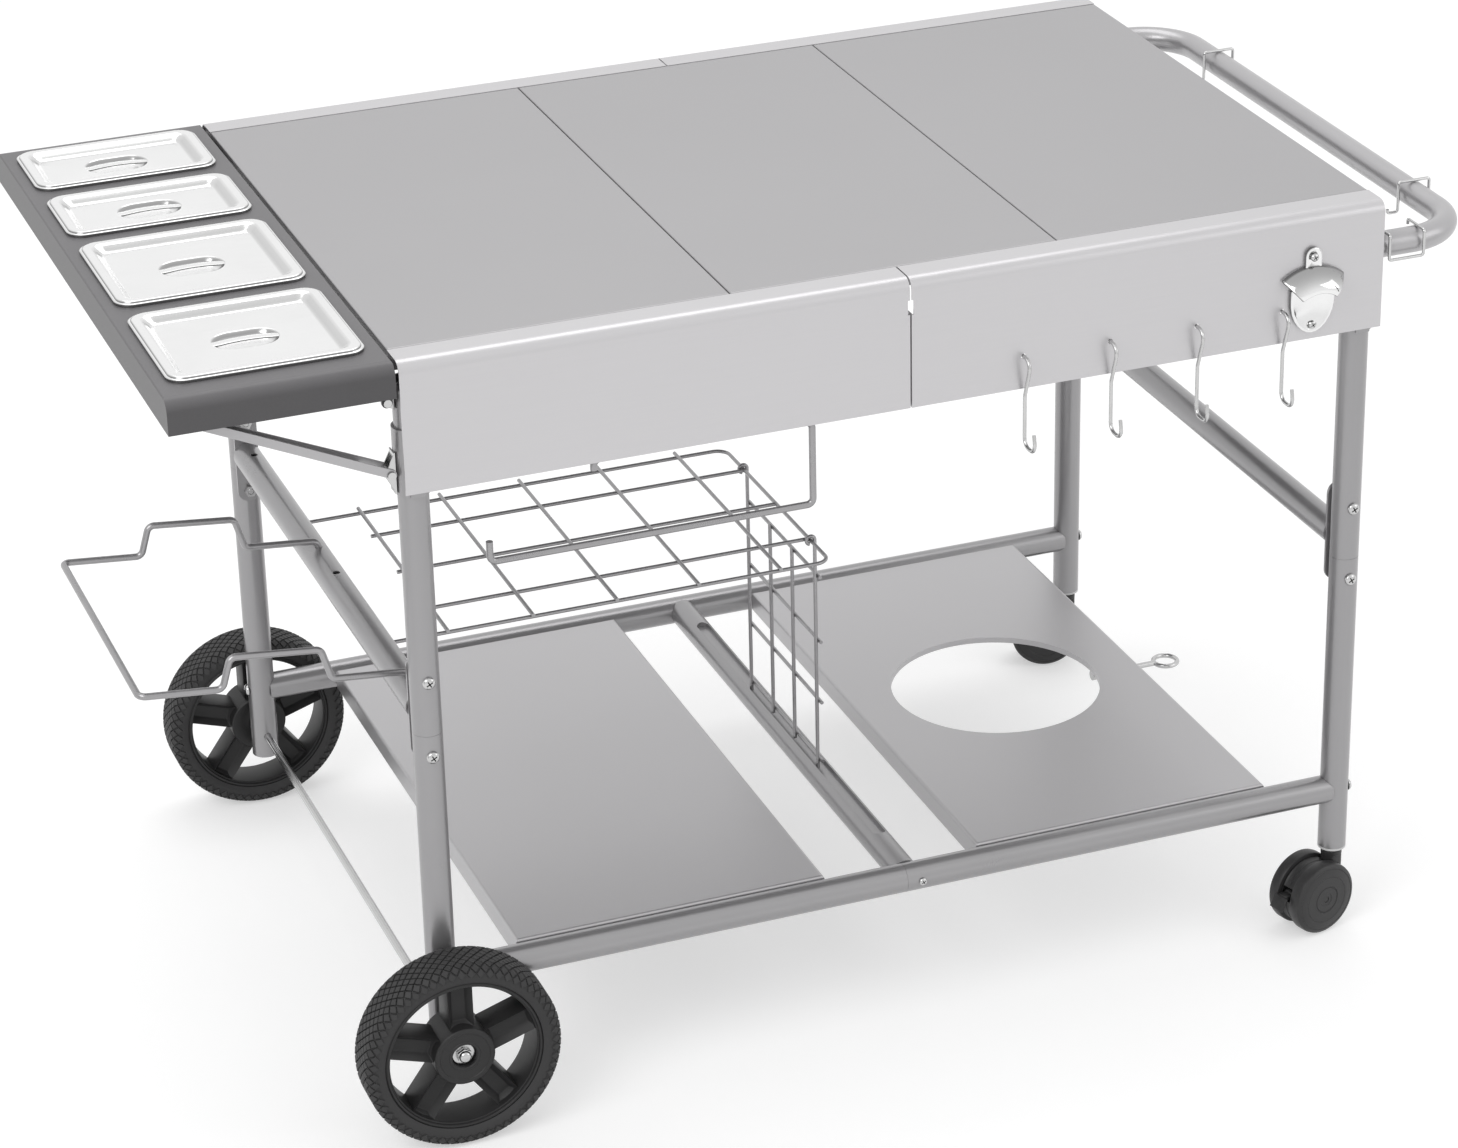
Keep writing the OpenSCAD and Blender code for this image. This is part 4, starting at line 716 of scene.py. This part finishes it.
# Caster hood, stem housing and brake tab, with Z up from the floor and the stem at the origin
def make_caster_hood():
    bm = bmesh.new()
    turned(bm, [(3.1, -7.9), (31.8, -7.9), (33.4, -7.5), (33.9, -6.4), (33.3, -5.2), (33.3, -0.9),
                (33.9, -0.5), (33.9, 0.5), (33.3, 0.9), (33.3, 5.2), (33.9, 6.4), (33.4, 7.5), (31.8, 7.9),
                (3.1, 7.9)], 72)
    move(bm, shift(-CASTER_TRAIL, 0, CASTER_R) @ Matrix.Rotation(pi / 2, 4, "X"))
    # The brake tab's room is cut out of the rim
    gap = []
    for face in bm.faces:
        middle = face.calc_center_median() / MM
        if middle.x < LEVER_PIN_X and abs(middle.z - LEVER_PIN_Z) < 7 and abs(middle.y) < 6:
            gap.append(face)
    bmesh.ops.delete(bm, geom=gap, context="FACES")
    housing = bmesh.new()
    bmesh.ops.create_cube(housing, size=1)
    move(housing, shift(0, 0, 57) @ Matrix.Diagonal((20 * MM, 15.8 * MM, 42 * MM, 1)))
    upright = [e for e in housing.edges if abs(e.verts[0].co.z - e.verts[1].co.z) > 10 * MM]
    bmesh.ops.bevel(housing, geom=upright, offset=5.6 * MM, affect="EDGES", segments=5, profile=0.5,
                    material=-1)
    join_shape(bm, housing)
    collar = bmesh.new()
    solid_of_turn(collar, [(0, 73.1), (9.8, 73.1), (10.5, 73.8), (10.5, 77.9), (9.8, 78.8), (6.2, 79.0),
                           (4.5, 79.4), (4.5, 112), (0, 112)], 40)
    join_shape(bm, collar)
    return bm


def make_brake_tab():
    """A neck along -X from the pin at the origin, and a ribbed tab bent down from its end."""
    bm = bmesh.new()
    turned(bm, [(2.1, -5.5), (3.3, -5.5), (3.5, -5.3), (3.5, 5.3), (3.3, 5.5), (2.1, 5.5)], 28)
    move(bm, Matrix.Rotation(pi / 2, 4, "X"))
    bend = shift(-13.5, 0, 2) @ Matrix.Rotation(radians(-62), 4, "Y")
    parts = [(shift(-7.6, 0, 0), 9.6, 11.0, 3.9, 0.5), (bend @ shift(-7, 0, -1), 13.9, 17.9, 1.9, 0.45)]
    parts += [(bend @ shift(-3.4 - i * 1.9, 0, -0.35), 0.9, 14.4, 0.66, 0.2) for i in range(5)]
    for place, length, width, height, edge in parts:
        part = bmesh.new()
        bmesh.ops.create_cube(part, size=1)
        move(part, place @ Matrix.Diagonal((length * MM, width * MM, height * MM, 1)))
        bmesh.ops.bevel(part, geom=part.edges[:], offset=edge * MM, affect="EDGES", segments=2, profile=0.5,
                        material=-1)
        join_shape(bm, part)
    return bm


for name, side in SIDES:
    hood = make_caster_hood()
    move(hood, at_caster(side))
    place_piece(name + "_caster_hood", hood, CASTER_PLASTIC, name + "_caster", 35,
                [name + "_caster_body"])
    tab = make_brake_tab()
    move(tab, at_caster(side) @ shift(LEVER_PIN_X, 0, LEVER_PIN_Z))
    place_piece(name + "_brake_tab", tab, CASTER_PLASTIC, name + "_brake", 35,
                [name + "_brake_lever"])


# Bottle opener: X to the right, Y up, Z out of the apron
EAR_R = 8.2
EAR_Y = -41
SHIELD_R = 22.4
SHIELD_Y = -90
SHIELD_DROP = 27.5
SHIELD_PINCH = 0.12
ARC_STEPS = 12
NECK = [(8.2, -50), (9.5, -58), (13, -66), (22.5, -74), (22.6, -84)]
PLATE = 3.2
VISOR_TURN = radians(41)
VISOR_Y = -98.7
VISOR_R = 48
VISOR_NARROWS = 22
VISOR_OUT = 17.5
VISOR_WALL = 3.4


def opener_plate():
    """Ear, neck and shield in one outline, with a stepped edge on its front."""
    bm = bmesh.new()
    ear, shield = [], []
    for k in range(ARC_STEPS + 1):
        a = pi * k / ARC_STEPS
        ear.append((EAR_R * cos(a), EAR_Y + EAR_R * sin(a)))
        a += pi
        shield.append((SHIELD_R * cos(a) * (1 - SHIELD_PINCH * abs(sin(a))), SHIELD_Y + SHIELD_DROP * sin(a)))
    outline = ear + [(-x, y) for x, y in NECK] + shield + NECK[::-1]
    plate = bm.faces.new([bm.verts.new((x * MM, y * MM, 0)) for x, y in outline])
    bm.normal_update()
    if plate.normal.z < 0:
        plate.normal_flip()
    back = bmesh.ops.extrude_face_region(bm, geom=[plate], use_keep_orig=True)
    front = [f for f in back["geom"] if isinstance(f, bmesh.types.BMFace)][0]
    bmesh.ops.translate(bm, verts=front.verts, vec=(0, 0, PLATE * MM))
    step_in(bm, front, 0.8, 0.5)
    step_in(bm, front, 1.4, 0.05)
    step_in(bm, front, 0.6, -0.4)
    return bm


def opener_visor():
    """A grid bent out of the plate into an arched visor."""
    visor = bmesh.new()
    bmesh.ops.create_grid(visor, x_segments=28, y_segments=14, size=0.5)
    for vert in visor.verts:
        across, down = vert.co.x * 2, 0.5 - vert.co.y
        angle = across * VISOR_TURN
        swell = sin(pi / 2 * min(down * 1.15, 1))
        r = VISOR_R - VISOR_NARROWS * down
        bulge = VISOR_OUT * swell * (1 - 0.10 * abs(across) ** 4) + 3
        vert.co = Vector((r * sin(angle) * 1.02 * MM, (VISOR_Y + r * cos(angle)) * MM, bulge * MM))
    bmesh.ops.solidify(visor, geom=visor.faces[:], thickness=VISOR_WALL * MM)
    bmesh.ops.bevel(visor, geom=[e for e in visor.edges if e.calc_face_angle(0) > 0.9], offset=1.1 * MM,
                    affect="EDGES", segments=3, profile=0.5, material=-1)
    return visor


opener = opener_plate()
join_shape(opener, opener_visor())
move(opener, shift(OPENER_X, OPENER_FOOT_Y, TOP_Z) @ Matrix.Rotation(pi / 2, 4, "X"))
place_piece("cast_opener", opener, OPENER_CHROME_AND_SHADE, "frame", 40, ["bottle_opener"])


# Floor, light and camera
def floor_material():
    """A white floor that still takes the object's shadow."""
    material = bpy.data.materials.new("Studio floor")
    material.use_nodes = True
    tree = material.node_tree
    shader = tree.nodes["Principled BSDF"]
    set_inputs(shader, {"Base Color": (0.62, 0.62, 0.62, 1), "Roughness": 0.9, "Specular IOR Level": 0.1,
                        "Emission Color": (1, 1, 1, 1)})
    seen = add_node(tree, "ShaderNodeLightPath")
    lit = add_node(tree, "ShaderNodeMath", operation="MAXIMUM")
    strength = add_node(tree, "ShaderNodeMath", operation="MULTIPLY")
    strength.inputs[1].default_value = 0.46
    tree.links.new(seen.outputs["Is Camera Ray"], lit.inputs[0])
    tree.links.new(seen.outputs["Is Glossy Ray"], lit.inputs[1])
    tree.links.new(lit.outputs[0], strength.inputs[0])
    tree.links.new(strength.outputs[0], shader.inputs["Emission Strength"])
    return material


def stage_sheet(name, size, placing, material):
    """A flat sheet of the studio, as wide as twice its size before it is placed."""
    sheet = bmesh.new()
    bmesh.ops.create_grid(sheet, x_segments=1, y_segments=1, size=size)
    bmesh.ops.transform(sheet, verts=sheet.verts, matrix=placing)
    mesh = bpy.data.meshes.new(name)
    sheet.to_mesh(mesh)
    sheet.free()
    mesh.materials.append(material)
    holder = bpy.data.objects.new(name, mesh)
    scene.collection.objects.link(holder)
    return holder


FLOOR_HALF = 30
FLOOR_DROP = 0.0006
stage_sheet("studio_floor", FLOOR_HALF, Matrix.Translation((0, 0, -FLOOR_DROP)), floor_material())

# Tall dark boards beside the cart, unseen by the camera, which give round metal its dark edges
BOARD_WIDTH = 0.5
BOARD_HEIGHT = 1.4
board_black = finish("Black board", grey(0.03), grey(0.02), 0.0, 0.7, 0.9)
for i, (x, y, turn) in enumerate(((-2.3, -0.9, 62), (2.4, -1.5, -50))):
    upright = (Matrix.Translation((x, y, BOARD_HEIGHT / 2)) @ Matrix.Rotation(radians(turn), 4, "Z")
               @ Matrix.Rotation(pi / 2, 4, "X") @ Matrix.Diagonal((BOARD_WIDTH, BOARD_HEIGHT, 1, 1)))
    board = stage_sheet("dark_board_%d" % i, 0.5, upright, board_black)
    board.visible_camera = False


def white_room():
    """White for the camera and in reflections, a little dimmer as light on the object."""
    world = bpy.data.worlds.new("Studio")
    world.use_nodes = True
    sky = world.node_tree
    background = sky.nodes["Background"]
    set_inputs(background, {"Color": (1, 1, 1, 1)})
    seen = add_node(sky, "ShaderNodeLightPath")
    either = add_node(sky, "ShaderNodeMath", operation="MAXIMUM")
    through = add_node(sky, "ShaderNodeMath", operation="MAXIMUM")
    level = add_node(sky, "ShaderNodeMapRange")
    set_inputs(level, {"To Min": 0.80, "To Max": 1.0})
    sky.links.new(seen.outputs["Is Camera Ray"], either.inputs[0])
    sky.links.new(seen.outputs["Is Glossy Ray"], either.inputs[1])
    sky.links.new(either.outputs[0], through.inputs[0])
    sky.links.new(seen.outputs["Is Transmission Ray"], through.inputs[1])
    sky.links.new(through.outputs[0], level.inputs["Value"])
    sky.links.new(level.outputs["Result"], background.inputs["Strength"])
    return world


scene.world = white_room()


def soft_light(name, place, aim, size, power):
    """A wide lamp that looks at a point."""
    lamp = bpy.data.lights.new(name, "AREA")
    lamp.shape = "RECTANGLE"
    lamp.size, lamp.size_y = size
    lamp.energy = power
    holder = bpy.data.objects.new(name, lamp)
    holder.location = place
    holder.rotation_euler = (Vector(aim) - Vector(place)).to_track_quat("-Z", "Y").to_euler()
    scene.collection.objects.link(holder)


soft_light("key_light", (-2.7, -1.9, 3.1), (0, 0, 0.5), (2.2, 2.2), 50)
soft_light("fill_light", (3.0, -2.2, 2.0), (0.2, 0, 0.5), (2.4, 2.0), 16)
soft_light("top_light", (0.2, 1.0, 3.2), (0, 0, 0.6), (2.4, 1.6), 18)

# The photo's camera: a turn from the front, a look down and a slight tilt of the picture
CAMERA_PLACE = (-1.3484, -3.68175, 2.2316)
CAMERA_TURN = radians(20.18)
CAMERA_LIFT = radians(25.74)
CAMERA_ROLL = radians(-1.40)
lens = bpy.data.cameras.new("photo_camera")
lens.sensor_fit = "HORIZONTAL"
lens.sensor_width = 36
lens.lens = 107.86
lens.clip_end = 100
camera = bpy.data.objects.new("photo_camera", lens)
ahead = Vector((sin(CAMERA_TURN) * cos(CAMERA_LIFT), cos(CAMERA_TURN) * cos(CAMERA_LIFT), -sin(CAMERA_LIFT)))
level_right = Vector((cos(CAMERA_TURN), -sin(CAMERA_TURN), 0))
level_up = level_right.cross(ahead)
right = level_right * cos(CAMERA_ROLL) + level_up * sin(CAMERA_ROLL)
up = level_up * cos(CAMERA_ROLL) - level_right * sin(CAMERA_ROLL)
turned_view = Matrix((right, up, -ahead)).transposed().to_4x4()
camera.matrix_world = Matrix.Translation(CAMERA_PLACE) @ turned_view
scene.collection.objects.link(camera)
scene.camera = camera
scene.view_settings.view_transform = "Standard"
